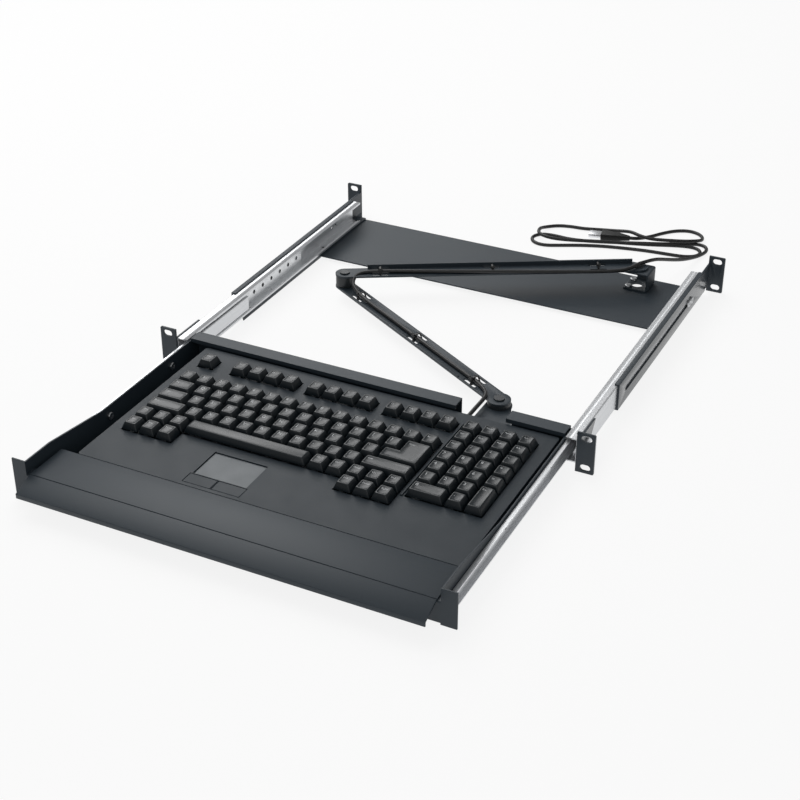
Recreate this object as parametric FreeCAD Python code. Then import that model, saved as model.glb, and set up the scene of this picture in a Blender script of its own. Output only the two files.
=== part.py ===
import FreeCAD, Part
import math
import os
from FreeCAD import Vector

# A one-unit rack drawer with a keyboard: brackets and ball slides, a folded tray,
# a keyboard with a touchpad, and a two-link cable arm behind it.
# Millimetres, +X right, +Y to the back of the rack, +Z up. The drawer stands pulled out.

# Rack brackets
rack_width = 482.6
ear_height = 43.7
ear_reach = 18.6
rack_depth = 416.4
bracket_sheet = 2.0
rack_hole_inset = 8.75
rack_hole_pitch_z = 31.75
rack_slot_length = 10.4
rack_slot_width = 6.8
ear_corner = 1.5
front_web_length = 46.0
front_web_slant = 20.0
rear_web_start = 113.0
rear_lip_reach = 11.0
rear_slot_width = 6.5
rear_slot_start = 24.0
rear_slot_length = 210.0
bracket_screw_pitch = 9.5

# Slides
slide_thickness = 12.7
slide_height = 26.0
slide_length = 388.0
slide_centre = 20.5
slide_inset = 2.5
outer_wall = 1.2
inner_wall = 1.2
ball_diameter = 3.0
ball_run = 0.25
ball_hole_play = 0.15
cage_wall = 0.6
cage_length = 200.0
cage_rim = 0.7
cage_stop = 2.0
balls_per_row = 4
slide_mouth = 0.6
slide_lip = 1.0
slide_corner = 1.5

# Tray
tray_pull = 269.0
closed_gap = 1.0
tray_sheet = 1.5
pan_height = 6.7
wall_low = 31.5
wall_high = 42.0
wall_rise_start = 37.0
wall_rise_length = 82.0
tray_ear_reach = 13.5
tray_ear_bottom = 4.9
tray_ear_top = 42.4
rail_top = 34.5
rail_depth = 16.0
rail_hem = 4.5
rail_gap_far = 115.0
rail_gap_near = 62.0
tray_screw_places = (129.0, 237.5)

# Palm ledge
ledge_top = 30.0
ledge_depth = 48.0
ledge_side_gap = 3.5
lip_reach = 22.0
lip_drop = 8.0
lip_hem = 5.0
crease_width = 0.9
crease_depth = 0.8
front_flange = 12.0

# Keyboard case
main_columns = 15
pad_columns = 4
left_margin = 11.4
block_gap = 5.5
right_margin = 13.2
first_row = 62.0
rear_margin = 28.5
case_ledge_gap = 0.5
case_side_gap = 3.5
case_left_gap = 21.45
case_rear_gap = 18.65
case_wall = 2.5
case_split = 18.0
case_corner = 3.0
case_foot = 0.8
foot_radius = 6.0
foot_inset = 14.0
floor_wall = 2.0
rib_wall = 1.6
ridge_width = 2.0
ridge_height = 1.2

# Keys
key_gap = 1.05
enter_units = 2.25
enter_step_units = 0.75
cap_height = 8.1
cap_lift = 0.4
cap_inset_x = 2.8
cap_inset_y = 2.2
cap_wall = 1.3
dish_depth = 0.6
key_travel = 3.5
stem_width = 4.0
stem_play = 0.3
guide_top = 23.0
guide_wall = 2.0
stem_reach = 1.0
sheet_wall = 1.2
sheet_gap = 0.3

# Touchpad
pad_width = 56.0
pad_length = 38.0
pad_left = 114.0
pad_front = 20.5
pad_recess = 1.2
pad_plate = 1.6
pad_play = 0.3
button_width = 29.5
button_length = 14.5
button_split = 1.0
button_front = 4.5
button_height = 3.8
button_flange = 1.0
button_flange_reach = 1.2
button_travel = 0.8

# Controller board and case screws
board_length = 100.0
board_width = 11.0
board_wall = 1.6
board_right = 40.0
board_lift = 3.0
board_gap = 1.0
chip_start = 40.0
header_start = 10.0
chip_length = 10.0
chip_inset = 1.0
header_inset = 2.0
screw_hole_play = 0.1
case_screw_radius = 1.5
case_screw_head = 3.2
case_screw_head_height = 1.6
case_boss_radius = 4.5
case_boss_inset = 6.2

# Rear plate and cable arm
plate_start = 290.0
plate_depth = 114.0
plate_sheet = 1.6
plate_hole_radius = 6.8
plate_overlap = 15.0
arm_rear_side = 58.5
arm_rear_inset = 34.4
arm_front_side = 94.2
arm_front_reach = 44.1
rear_link_length = 334.3
front_link_length = 298.6
link_width = 21.0
link_sheet = 2.0
link_flange = 5.0
flange_start = 26.0
flange_end = 6.0
arm_bracket_width = 27.0
arm_bracket_reach = 12.0
arm_bracket_web = 16.0
arm_bracket_top = 27.7
arm_slot_play = 5.2
pivot_radius = 3.0
pivot_play = 0.08
pivot_head = 5.5
pivot_head_height = 1.2
front_spacer = 5.0
spacer_radius = 10.0
front_boss_radius = 12.0
face_gap = 0.3
tie_width = 3.0
tie_wall = 1.0
tie_slot_length = 20.0
tie_slot_width = 4.2
tie_slot_offset = 6.2
tie_stations = (0.12, 0.5, 0.86)

# Cable
cable_diameter = 4.2
cable_lift = 0.1
elbow_cable_gap = 24.0
rear_cable_gap = 16.0
grommet_radius = 3.1
grommet_length = 9.0
grommet_step = 3.0
grommet_lip = 1.0
tail_drop = 16.0
tail_turn = 38.0

# Small screws
screw_radius = 2.0
screw_head_radius = 4.0
screw_head_height = 2.2
screw_head_ease = 0.8

# Places worked out from the sizes above
total_depth = lip_reach + tray_pull + rack_depth + bracket_sheet
rack_front = lip_reach + tray_pull - total_depth / 2
rack_rear = rack_front + rack_depth
tray_front = rack_front - tray_pull
web_x = rack_width / 2 - ear_reach
tray_half = web_x - slide_thickness
tray_inner = tray_half - tray_sheet
pan_top = pan_height + tray_sheet
slide_bottom = slide_centre - slide_height / 2
slide_top = slide_centre + slide_height / 2
tray_travel = tray_pull - tray_sheet - closed_gap
outer_front = rack_front + slide_inset
inner_front = outer_front - tray_travel
plate_top = slide_bottom - bracket_sheet
plate_bottom = plate_top - plate_sheet
plate_front = rack_front + plate_start
plate_rear = plate_front + plate_depth

case_front = tray_front + ledge_depth + case_ledge_gap
case_right = tray_inner - case_side_gap
case_left = case_left_gap - tray_inner
key_field = case_right - case_left - left_margin - block_gap - right_margin
key_pitch = key_field / (main_columns + pad_columns)
main_left = case_left + left_margin
pad_block_left = main_left + main_columns * key_pitch + block_gap
function_row = first_row + 7 * key_pitch
case_rear = case_front + function_row + rear_margin
tray_rear = case_rear + case_rear_gap
rail_gap_left = tray_half - rail_gap_far
rail_gap_right = tray_half - rail_gap_near
deck_top = ledge_top
deck_bottom = deck_top - case_wall
case_bottom = pan_top + case_foot
floor_top = case_bottom + floor_wall
guide_bottom = guide_top - guide_wall
stem_bottom = guide_bottom - stem_reach
sheet_top = stem_bottom - key_travel - sheet_gap

cable_radius = cable_diameter / 2
screw_hole = screw_radius + screw_hole_play
rear_pivot = Vector(tray_half - arm_rear_side, rack_rear - arm_rear_inset, 0)
front_pivot = Vector(tray_half - arm_front_side, tray_rear + arm_front_reach, 0)
front_link_bottom = pan_top + front_spacer
front_link_top = front_link_bottom + link_sheet
rear_link_bottom = arm_bracket_top + face_gap
rear_link_top = rear_link_bottom + link_sheet
link_radius = link_width / 2


def box(x0, x1, y0, y1, z0, z1):
    """A block between two corners."""
    return Part.makeBox(x1 - x0, y1 - y0, z1 - z0, Vector(x0, y0, z0))


def prism(points, sweep):
    """A flat outline swept along a vector."""
    return Part.Face(Part.makePolygon(points + [points[0]])).extrude(sweep)


def post(x, y, z0, z1, radius):
    """An upright cylinder."""
    return Part.makeCylinder(radius, z1 - z0, Vector(x, y, z0))


def mirrored(shape):
    """The other hand of a piece on the right side."""
    return shape.mirror(Vector(0, 0, 0), Vector(1, 0, 0))


def stadium(centre, along, across, half_length, radius, sweep):
    """A slot shape: two straight sides and two round ends, swept along a vector."""
    along = Vector(along).normalize()
    across = Vector(across).normalize()
    a = centre - along * half_length + across * radius
    b = centre + along * half_length + across * radius
    c = centre + along * half_length - across * radius
    d = centre - along * half_length - across * radius
    right = Part.Arc(b, centre + along * (half_length + radius), c)
    left = Part.Arc(d, centre - along * (half_length + radius), a)
    edges = [Part.LineSegment(a, b), right, Part.LineSegment(c, d), left]
    wire = Part.Wire([edge.toShape() for edge in edges])
    return Part.Face(wire).extrude(sweep)


def edges_at(shape, test):
    """The straight edges of a shape whose two ends pass a test."""
    picked = []
    for edge in shape.Edges:
        if len(edge.Vertexes) == 2 and all(test(vertex.Point) for vertex in edge.Vertexes):
            picked.append(edge)
    return picked


def near(value, target):
    """Whether two lengths are the same."""
    return abs(value - target) < 1e-4


def ear(y0, y1):
    """A rack ear on the right, with its two slotted holes."""
    outer = rack_width / 2
    plate = box(web_x, outer, y0, y1, 0, ear_height)
    ends = (0, ear_height)
    corners = edges_at(plate, lambda p: near(p.x, outer) and any(near(p.z, z) for z in ends))
    plate = plate.makeFillet(ear_corner, [edge for edge in corners if near(edge.Length, y1 - y0)])
    for side in (-1, 1):
        centre = Vector((rack_width / 2 - rack_hole_inset), y0, ear_height / 2 + side * rack_hole_pitch_z / 2)
        half = (rack_slot_length - rack_slot_width) / 2
        through = Vector(0, y1 - y0, 0)
        radius = rack_slot_width / 2
        plate = plate.cut(stadium(centre, Vector(1, 0, 0), Vector(0, 0, 1), half, radius, through))
    return plate


def bracket_screw_place(index):
    """How far along the rack, from the front ear, a rear bracket's screw sits."""
    slot_end = rack_front + rear_web_start + rear_slot_start + rear_slot_length
    return slot_end - index * bracket_screw_pitch


def front_bracket():
    """Front bracket on the right: an ear and a short slanted web on the slide's outer face."""
    y0 = rack_front
    web = prism(
        [
            Vector(web_x, y0, slide_bottom),
            Vector(web_x, y0 + front_web_length - front_web_slant, slide_bottom),
            Vector(web_x, y0 + front_web_length, slide_top),
            Vector(web_x, y0, slide_top),
        ],
        Vector(bracket_sheet, 0, 0),
    )
    hole = Part.makeCylinder(screw_hole, bracket_sheet, front_screw_place(), Vector(1, 0, 0))
    return ear(y0, y0 + bracket_sheet).fuse(web).removeSplitter().cut(hole)


def front_screw_place():
    """Where the front bracket's screw goes into the slide, on the web's inner face."""
    return Vector(web_x, rack_front + front_web_length / 2, slide_centre)


def rear_bracket():
    """Rear bracket on the right: ear, long slotted web, lip under the slide, shelf for the plate."""
    x1 = web_x + bracket_sheet
    y0 = rack_front + rear_web_start
    web = box(web_x, x1, y0, rack_rear + bracket_sheet, slide_bottom, slide_top)
    lip = box(web_x - rear_lip_reach, x1, y0, plate_front, slide_bottom - bracket_sheet, slide_bottom)
    shelf = box(tray_half, x1, plate_front, plate_rear, slide_bottom - bracket_sheet, slide_bottom)
    body = ear(rack_rear, rack_rear + bracket_sheet).fuse([web, lip, shelf]).removeSplitter()
    half = (rear_slot_length - rear_slot_width) / 2
    middle = Vector(web_x, y0 + rear_slot_start + rear_slot_length / 2, slide_centre)
    slot = stadium(
        middle, Vector(0, 1, 0), Vector(0, 0, 1), half + bracket_screw_pitch / 2,
        rear_slot_width / 2, Vector(bracket_sheet, 0, 0),
    )
    body = body.cut(slot)
    for y in plate_screw_places():
        body = body.cut(post(plate_screw_x(), y, plate_bottom, slide_bottom, screw_hole))
    return body


def plate_screw_places():
    """Where the rear plate's screws sit along the rack."""
    return (plate_front + plate_overlap, plate_rear - plate_overlap)


def plate_screw_x():
    """How far from the middle the rear plate's screws sit."""
    return tray_half + slide_thickness / 2


def slide_section(u_back, u_open, half_height, wall, lip, corner, front):
    """A C-shaped slide member: its back is at u_back, its flanges run to u_open."""
    toward = 1 if u_open > u_back else -1
    x_back = tray_half + u_back
    x_open = tray_half + u_open
    step = toward * wall
    outline = [(x_back, half_height), (x_open, half_height)]
    if lip:
        outline += [(x_open, half_height - wall - lip), (x_open - step, half_height - wall - lip)]
        outline += [(x_open - step, half_height - wall)]
    else:
        outline += [(x_open, half_height - wall)]
    outline += [(x_back + step, half_height - wall)]
    lower = [(x, -z) for x, z in reversed(outline)]
    points = [Vector(x, front, slide_centre + z) for x, z in outline + lower]
    member = prism(points, Vector(0, slide_length, 0))
    corners = edges_at(member, lambda p: near(p.x, x_back) and near(abs(p.z - slide_centre), half_height))
    return member.makeFillet(corner, [edge for edge in corners if near(edge.Length, slide_length)])


outer_half = slide_height / 2
ball_row = outer_half - outer_wall - ball_run - ball_diameter / 2
inner_half = ball_row - ball_diameter / 2 - ball_run
outer_open = slide_mouth
ball_u = outer_open + outer_wall + ball_run + ball_diameter / 2
inner_open = ball_u + ball_diameter / 2


def slide_members():
    """The two members of the right slide, each with its screw holes."""
    outer = slide_section(
        slide_thickness, outer_open, outer_half, outer_wall, slide_lip, slide_corner, outer_front
    )
    inner = slide_section(0, inner_open, inner_half, inner_wall, 0, inner_wall, inner_front)
    across = Vector(1, 0, 0)
    for y in tray_screw_places:
        start = Vector(tray_half, tray_front + y, slide_centre)
        inner = inner.cut(Part.makeCylinder(screw_hole, inner_wall, start, across))
    places = [bracket_screw_place(0), bracket_screw_place(1), front_screw_place().y]
    for y in places:
        start = Vector(web_x - outer_wall, y, slide_centre)
        outer = outer.cut(Part.makeCylinder(screw_hole, outer_wall, start, across))
    for y in plate_screw_places():
        outer = outer.cut(post(plate_screw_x(), y, slide_bottom, slide_bottom + outer_wall, screw_hole))
    return outer, inner


def ball_ring(centre, radius, angle, sides=8):
    """A band of a bearing ball at one angle above its middle, as a regular outline."""
    level = Vector(0, 0, radius * math.sin(angle))
    reach = radius * math.cos(angle)
    turns = [2 * math.pi * index / sides for index in range(sides)]
    return [centre + level + Vector(reach * math.cos(t), reach * math.sin(t), 0) for t in turns]


def bearing_ball(centre, radius):
    """A bearing ball in flat bands, so that the many balls stay light."""
    angles = [math.radians(degrees) for degrees in (-67.5, -22.5, 22.5, 67.5)]
    rings = [ball_ring(centre, radius, angle) for angle in angles]
    bands = [tapered(low, high) for low, high in zip(rings, rings[1:])]
    return bands[0].fuse(bands[1:]).removeSplitter()


def ball_cage():
    """The folded cage strip of the right slide, with a row of balls above and below, at rest."""
    hole_radius = ball_diameter / 2 + ball_hole_play
    x_web = tray_half + (inner_open + slide_thickness - outer_wall) / 2
    x_open = tray_half + ball_u - hole_radius - cage_rim
    rear = outer_front + slide_length - cage_stop - tray_travel / 2
    front = rear - cage_length
    half = cage_wall / 2
    web = box(x_web - half, x_web + half, front, rear, slide_centre - ball_row, slide_centre + ball_row)
    strips = []
    balls = []
    for side in (-1, 1):
        level = slide_centre + side * ball_row
        strip = box(x_open, x_web + half, front, rear, level - half, level + half)
        for index in range(balls_per_row):
            y = front + (index + 0.5) * cage_length / balls_per_row
            x = tray_half + ball_u
            strip = strip.cut(post(x, y, level - cage_wall, level + cage_wall, hole_radius))
            balls.append(bearing_ball(Vector(x, y, level), ball_diameter / 2))
        strips.append(strip)
    return [web.fuse(strips).removeSplitter()] + balls


def pan_screw(base, axis, shank):
    """A pan-head screw: its head stands on the base point, its shank runs along the axis."""
    axis = Vector(axis).normalize()
    profile = [
        Vector(0, 0, -screw_head_height),
        Vector(screw_head_radius - screw_head_ease, 0, -screw_head_height),
        Vector(screw_head_radius, 0, 0),
        Vector(screw_radius, 0, 0),
        Vector(screw_radius, 0, shank),
        Vector(0, 0, shank),
    ]
    face = Part.Face(Part.makePolygon(profile + [profile[0]]))
    screw = face.revolve(Vector(0, 0, 0), Vector(0, 0, 1), 360)
    screw.Placement = FreeCAD.Placement(base, FreeCAD.Rotation(Vector(0, 0, 1), axis))
    return screw


def rack_screws():
    """Screws that hold the brackets to the slides, the plate and the arm's bracket."""
    right = []
    inward = Vector(-1, 0, 0)
    outside = web_x + bracket_sheet
    depth = bracket_sheet + outer_wall
    for y in (bracket_screw_place(0), bracket_screw_place(1), front_screw_place().y):
        right.append(pan_screw(Vector(outside, y, slide_centre), inward, depth))
    for y in plate_screw_places():
        depth = plate_sheet + bracket_sheet + outer_wall
        right.append(pan_screw(Vector(plate_screw_x(), y, plate_bottom), Vector(0, 0, 1), depth))
    group = right + [mirrored(screw) for screw in right]
    for place in arm_screw_places():
        group.append(pan_screw(place, Vector(0, 0, -1), bracket_sheet + plate_sheet))
    return group


def arm_screw_places():
    """Where the arm bracket is screwed to the plate."""
    x = rear_pivot.x - arm_bracket_reach + screw_head_radius + face_gap
    offset = arm_bracket_width / 2 - screw_head_radius - face_gap
    z = plate_top + bracket_sheet
    return [Vector(x, rear_pivot.y + side * offset, z) for side in (-1, 1)]


def rear_plate():
    """Sheet plate between the rear brackets, under the cable arm."""
    edge = tray_half + slide_thickness
    plate = box(-edge, edge, plate_front, plate_rear, plate_bottom, plate_top)
    plate = plate.cut(post(rear_pivot.x, rear_pivot.y, plate_bottom, plate_top, plate_hole_radius))
    for side in (-1, 1):
        for y in plate_screw_places():
            plate = plate.cut(post(side * plate_screw_x(), y, plate_bottom, plate_top, screw_hole))
    for place in arm_screw_places():
        plate = plate.cut(post(place.x, place.y, plate_bottom, plate_top, screw_hole))
    return plate


def arm_bracket():
    """Folded bracket that carries the arm's rear pivot above the plate."""
    x0 = rear_pivot.x - arm_bracket_reach
    x1 = rear_pivot.x + arm_bracket_web
    y0 = rear_pivot.y - arm_bracket_width / 2
    z0 = plate_top
    z1 = arm_bracket_top
    outline = [
        Vector(x0, y0, z0),
        Vector(x1, y0, z0),
        Vector(x1, y0, z1),
        Vector(x0, y0, z1),
        Vector(x0, y0, z1 - bracket_sheet),
        Vector(x1 - bracket_sheet, y0, z1 - bracket_sheet),
        Vector(x1 - bracket_sheet, y0, z0 + bracket_sheet),
        Vector(x0, y0, z0 + bracket_sheet),
    ]
    body = prism(outline, Vector(0, arm_bracket_width, 0))
    folds = edges_at(body, lambda p: near(p.x, x1) and (near(p.z, z0) or near(p.z, z1)))
    body = body.makeFillet(bracket_sheet, [edge for edge in folds if near(edge.Length, arm_bracket_width)])
    body = body.cut(post(rear_pivot.x, rear_pivot.y, z0, z0 + bracket_sheet, plate_hole_radius))
    middle = Vector(rear_pivot.x, rear_pivot.y + arm_slot_play / 2, z1 - bracket_sheet)
    slot = stadium(
        middle, Vector(0, 1, 0), Vector(1, 0, 0), arm_slot_play / 2,
        pivot_radius + face_gap, Vector(0, 0, bracket_sheet),
    )
    body = body.cut(slot)
    for place in arm_screw_places():
        body = body.cut(post(place.x, place.y, z0, z0 + bracket_sheet, screw_hole))
    return body


def tray_wall(x):
    """A side wall with its raised front, starting at x."""
    rise = tray_front + wall_rise_start
    outline = [
        Vector(x, tray_front, pan_height),
        Vector(x, tray_rear, pan_height),
        Vector(x, tray_rear, wall_low),
        Vector(x, rise + wall_rise_length, wall_low),
        Vector(x, rise, wall_high),
        Vector(x, tray_front, wall_high),
    ]
    return prism(outline, Vector(tray_sheet, 0, 0))


def rear_rail(x0, x1):
    """A stretch of the tray's folded rear rail."""
    y1 = tray_rear
    y0 = y1 - rail_depth
    top = rail_top
    outline = [
        Vector(x0, y1, pan_height),
        Vector(x0, y1, top),
        Vector(x0, y0, top),
        Vector(x0, y0, top - rail_hem),
        Vector(x0, y0 + tray_sheet, top - rail_hem),
        Vector(x0, y0 + tray_sheet, top - tray_sheet),
        Vector(x0, y1 - tray_sheet, top - tray_sheet),
        Vector(x0, y1 - tray_sheet, pan_height),
    ]
    return prism(outline, Vector(x1 - x0, 0, 0))


def arm_tab():
    """The flat tab behind the tray that carries the arm's front pivot."""
    end = front_boss_radius + tray_sheet
    tip = post(front_pivot.x, front_pivot.y, pan_height, pan_top, end)
    neck = [
        Vector(front_pivot.x - end, front_pivot.y, pan_height),
        Vector(front_pivot.x - end, tray_rear - tray_sheet, pan_height),
        Vector(rail_gap_right, tray_rear - tray_sheet, pan_height),
        Vector(front_pivot.x + end, front_pivot.y, pan_height),
    ]
    return prism(neck, Vector(0, 0, tray_sheet)).fuse(tip)


def front_panel():
    """The tray's front panel, folded back at the top into the flange that carries the ledge."""
    front = tray_front
    top = ledge_top - tray_sheet
    outline = [
        Vector(-tray_inner, front, pan_height),
        Vector(-tray_inner, front, top),
        Vector(-tray_inner, front + front_flange, top),
        Vector(-tray_inner, front + front_flange, top - tray_sheet),
        Vector(-tray_inner, front + tray_sheet, top - tray_sheet),
        Vector(-tray_inner, front + tray_sheet, pan_height),
    ]
    panel = prism(outline, Vector(2 * tray_inner, 0, 0))
    return panel.makeFillet(tray_sheet, edges_at(panel, lambda p: near(p.y, front) and near(p.z, top)))


def tray():
    """The folded tray: pan, side walls, ears, front panel, rear rail and the arm's tab."""
    pan = box(-tray_half, tray_half, tray_front, tray_rear, pan_height, pan_top)
    reach = tray_half + tray_ear_reach
    ear_rear = tray_front + tray_sheet
    ears = [
        box(tray_inner, reach, tray_front, ear_rear, tray_ear_bottom, tray_ear_top),
        box(-reach, -tray_inner, tray_front, ear_rear, tray_ear_bottom, tray_ear_top),
    ]
    rails = [rear_rail(-tray_inner, rail_gap_left), rear_rail(rail_gap_right, tray_inner)]
    pieces = [tray_wall(tray_inner), tray_wall(-tray_half), front_panel(), arm_tab()]
    body = pan.fuse(pieces + ears + rails).removeSplitter()
    for y in tray_screw_places:
        for start in (tray_inner, -tray_half):
            place = Vector(start, tray_front + y, slide_centre)
            body = body.cut(Part.makeCylinder(screw_hole, tray_sheet, place, Vector(1, 0, 0)))
    for x, y in case_screw_places():
        body = body.cut(post(x, y, pan_height, pan_top, case_screw_radius + screw_hole_play))
    return body.cut(post(front_pivot.x, front_pivot.y, pan_height, pan_top, pivot_radius + pivot_play))


def palm_ledge():
    """The folded front ledge with its crease, sloping lip and hem."""
    x = tray_inner - ledge_side_gap
    y0 = tray_front
    slope = math.hypot(lip_reach, lip_drop)
    dy = tray_sheet * lip_drop / slope
    dz = tray_sheet * lip_reach / slope
    nose = y0 - lip_reach
    low = ledge_top - lip_drop
    under = ledge_top - tray_sheet
    outline = [
        Vector(-x, y0 + ledge_depth, ledge_top),
        Vector(-x, y0 + crease_width, ledge_top),
        Vector(-x, y0 + crease_width, ledge_top - crease_depth),
        Vector(-x, y0, ledge_top - crease_depth),
        Vector(-x, y0, ledge_top),
        Vector(-x, nose, low),
        Vector(-x, nose, low - lip_hem),
        Vector(-x, nose + tray_sheet, low - lip_hem),
        Vector(-x, nose + tray_sheet, low - dz + (tray_sheet - dy) * lip_drop / lip_reach),
        Vector(-x, y0 + dy - (tray_sheet - dz) * lip_reach / lip_drop, under),
        Vector(-x, y0 + ledge_depth, under),
    ]
    return prism(outline, Vector(2 * x, 0, 0))


def tray_screws():
    """Screws through the tray's walls into the inner slide members."""
    right = []
    for y in tray_screw_places:
        place = Vector(tray_inner, tray_front + y, slide_centre)
        right.append(pan_screw(place, Vector(1, 0, 0), tray_sheet + inner_wall))
    return right + [mirrored(screw) for screw in right]


def row_y(row):
    """The middle of a key row, counted from the front."""
    return case_front + first_row + row * key_pitch


def case_screw_places():
    """The four screws that hold the keyboard to the tray."""
    y_front = case_front + foot_inset + 2 * foot_radius
    y_rear = case_rear - foot_inset
    left = case_left + case_boss_inset
    right = case_right - case_boss_inset
    return [(left, y_front), (right, y_front), (left, y_rear), (right, y_rear)]


def rounded_block(x0, x1, y0, y1, z0, z1, radius):
    """A block with round upright corners."""
    block = box(x0, x1, y0, y1, z0, z1)
    posts = []
    for edge in block.Edges:
        low, high = edge.Vertexes
        if near(abs(low.Z - high.Z), z1 - z0):
            posts.append(edge)
    return block.makeFillet(radius, posts)


def keyboard_base():
    """Lower case: a shallow open shell with ribs, bosses and moulded feet."""
    w = case_wall
    span = (case_left, case_right, case_front, case_rear)
    shell = rounded_block(*span, case_bottom, case_split, case_corner)
    hollow = box(case_left + w, case_right - w, case_front + w, case_rear - w, floor_top, case_split)
    shell = shell.cut(hollow)
    rib_top = sheet_top - sheet_wall
    ribs = []
    for row in range(0, 8):
        y = row_y(row) - key_pitch / 2
        half = rib_wall / 2
        ribs.append(box(case_left + w, case_right - w, y - half, y + half, floor_top, rib_top))
    y0 = case_rear - case_wall - board_gap - board_width
    for x in (board_right_x() - board_length, board_right_x() - rib_wall):
        ribs.append(box(x, x + rib_wall, y0, case_rear - w, floor_top, floor_top + board_lift))
    for button in range(2):
        x = pad_x() + pad_width / 2 + (button - 0.5) * (button_width + button_split)
        y = case_front + button_front + button_length / 2
        ribs.append(box(x - rib_wall, x + rib_wall, y - rib_wall, y + rib_wall, floor_top, button_stop()))
    bosses = [post(x, y, floor_top, case_split, case_boss_radius) for x, y in case_screw_places()]
    feet = []
    for x in (case_left + foot_inset, (case_left + case_right) / 2, case_right - foot_inset):
        for y in (case_front + foot_inset, case_rear - 2 * foot_inset):
            feet.append(post(x, y, pan_top, case_bottom, foot_radius))
    body = shell.fuse(ribs + bosses + feet).removeSplitter()
    for x, y in case_screw_places():
        body = body.cut(post(x, y, case_bottom, case_split, case_screw_radius + screw_hole_play))
    inside = grommet_place() - Vector(0, case_wall, 0)
    radius = grommet_radius + screw_hole_play
    return body.cut(Part.makeCylinder(radius, case_wall, inside, Vector(0, 1, 0)))


def pad_x():
    """The left edge of the touchpad."""
    return case_left + pad_left


def button_stop():
    """The height of the posts under the touchpad's buttons."""
    return deck_top - button_height - button_travel - sheet_gap


def board_right_x():
    """The right end of the controller board."""
    return case_right - board_right


def key_openings():
    """Openings of the deck round each block of keys."""
    def cells(left, first_column, columns, first, rows):
        x0 = left + first_column * key_pitch
        y0 = row_y(first) - key_pitch / 2
        return box(x0, x0 + columns * key_pitch, y0, y0 + rows * key_pitch, deck_bottom, deck_top)
    escape = cells(main_left, 0, 1, 7, 1)
    functions = [cells(main_left, start, 4, 7, 1) for start in (2, 6.5, 11)]
    letters = cells(main_left, 0, main_columns, 1, 5)
    corners = [cells(main_left, 0, 3, 0, 1), cells(main_left, 12, 3, 0, 1)]
    number_pad = cells(pad_block_left, 0, pad_columns, 1, 7)
    return [escape] + functions + [letters.fuse(corners).removeSplitter(), number_pad]


def keyboard_top():
    """Upper case: deck with key openings, touchpad recess and the guide plate under the keys."""
    w = case_wall
    span = (case_left, case_right, case_front, case_rear)
    shell = rounded_block(*span, case_split, deck_top, case_corner)
    hollow = box(case_left + w, case_right - w, case_front + w, case_rear - w, case_split, deck_bottom)
    shell = shell.cut(hollow)
    guide_front = row_y(0) - key_pitch / 2
    guide_rear = row_y(7) + key_pitch / 2
    guide = box(case_left + w, case_right - w, guide_front, guide_rear, guide_bottom, guide_top)
    reach = stem_width / 2 + stem_play
    holes = []
    for _, keys in key_groups():
        for key in keys:
            x, y = stem_place(key)
            holes.append(box(x - reach, x + reach, y - reach, y + reach, guide_bottom, guide_top))
    guide = guide.cut(Part.makeCompound(holes))
    ridge_x = (main_left + main_columns * key_pitch + pad_block_left) / 2
    ridge = box(ridge_x - ridge_width / 2, ridge_x + ridge_width / 2, row_y(1) - key_pitch / 2,
                row_y(7) + key_pitch / 2, deck_top, deck_top + ridge_height)
    seat = pad_seat()
    bosses = [post(x, y, case_split, deck_bottom, case_boss_radius) for x, y in case_screw_places()]
    body = shell.fuse([guide, ridge, seat] + bosses).removeSplitter()
    cuts = key_openings() + [pad_opening(pad_play)]
    left = button_block(0, deck_bottom, deck_top, pad_play)
    right = button_block(1, deck_bottom, deck_top, pad_play)
    cuts.append(left.fuse(right).removeSplitter())
    for x, y in case_screw_places():
        cuts.append(post(x, y, case_split, deck_bottom, case_screw_radius + screw_hole_play))
    for cut in cuts:
        body = body.cut(cut)
    return body


def pad_seat():
    """The floor of the touchpad's recess."""
    w = case_wall
    x0 = pad_x() - w
    y0 = case_front + pad_front - pad_play
    y1 = case_front + pad_front + pad_length + w
    floor = deck_top - pad_recess - pad_plate
    return box(x0, x0 + pad_width + 2 * w, y0, y1, floor - w, deck_bottom)


def pad_opening(play):
    """The recess that takes the touchpad's plate."""
    x0 = pad_x() - play
    y0 = case_front + pad_front - play
    floor = deck_top - pad_recess - pad_plate
    return box(x0, x0 + pad_width + 2 * play, y0, y0 + pad_length + 2 * play, floor, deck_top)


def touchpad():
    """The touchpad's plate in its recess."""
    x0 = pad_x()
    y0 = case_front + pad_front
    top = deck_top - pad_recess
    return rounded_block(x0, x0 + pad_width, y0, y0 + pad_length, top - pad_plate, top, pad_plate)


def button_block(index, z0, z1, play=0.0, flange=0.0):
    """One touchpad button's outline as a block: play all round, a flange at its side and front."""
    middle = pad_x() + pad_width / 2
    side = 2 * index - 1
    near_edge = middle + side * (button_split / 2 - play)
    far_edge = middle + side * (button_split / 2 + button_width + play + flange)
    y0 = case_front + button_front - play - flange
    y1 = case_front + button_front + button_length + play
    return box(min(near_edge, far_edge), max(near_edge, far_edge), y0, y1, z0, z1)


def touchpad_button(index):
    """A touchpad button: an eased cap on a flange that holds it under the deck."""
    low = deck_top - button_height
    cap = button_block(index, low, deck_top)
    cap = cap.makeChamfer(case_wall / 5, edges_at(cap, lambda p: near(p.z, deck_top)))
    rim = button_block(index, low, low + button_flange, flange=button_flange_reach)
    return cap.fuse(rim).removeSplitter()


def key(column, row, width=1.0, height=1.0, block="main", shape="cap"):
    """One key of the layout: its left column, row from the front and size in key units."""
    place = {"column": column, "row": row, "block": block}
    return {**place, "width": width, "height": height, "shape": shape}


def run(first_column, row, count, block="main"):
    """A run of single keys side by side."""
    return [key(first_column + index, row, block=block) for index in range(count)]


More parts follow.
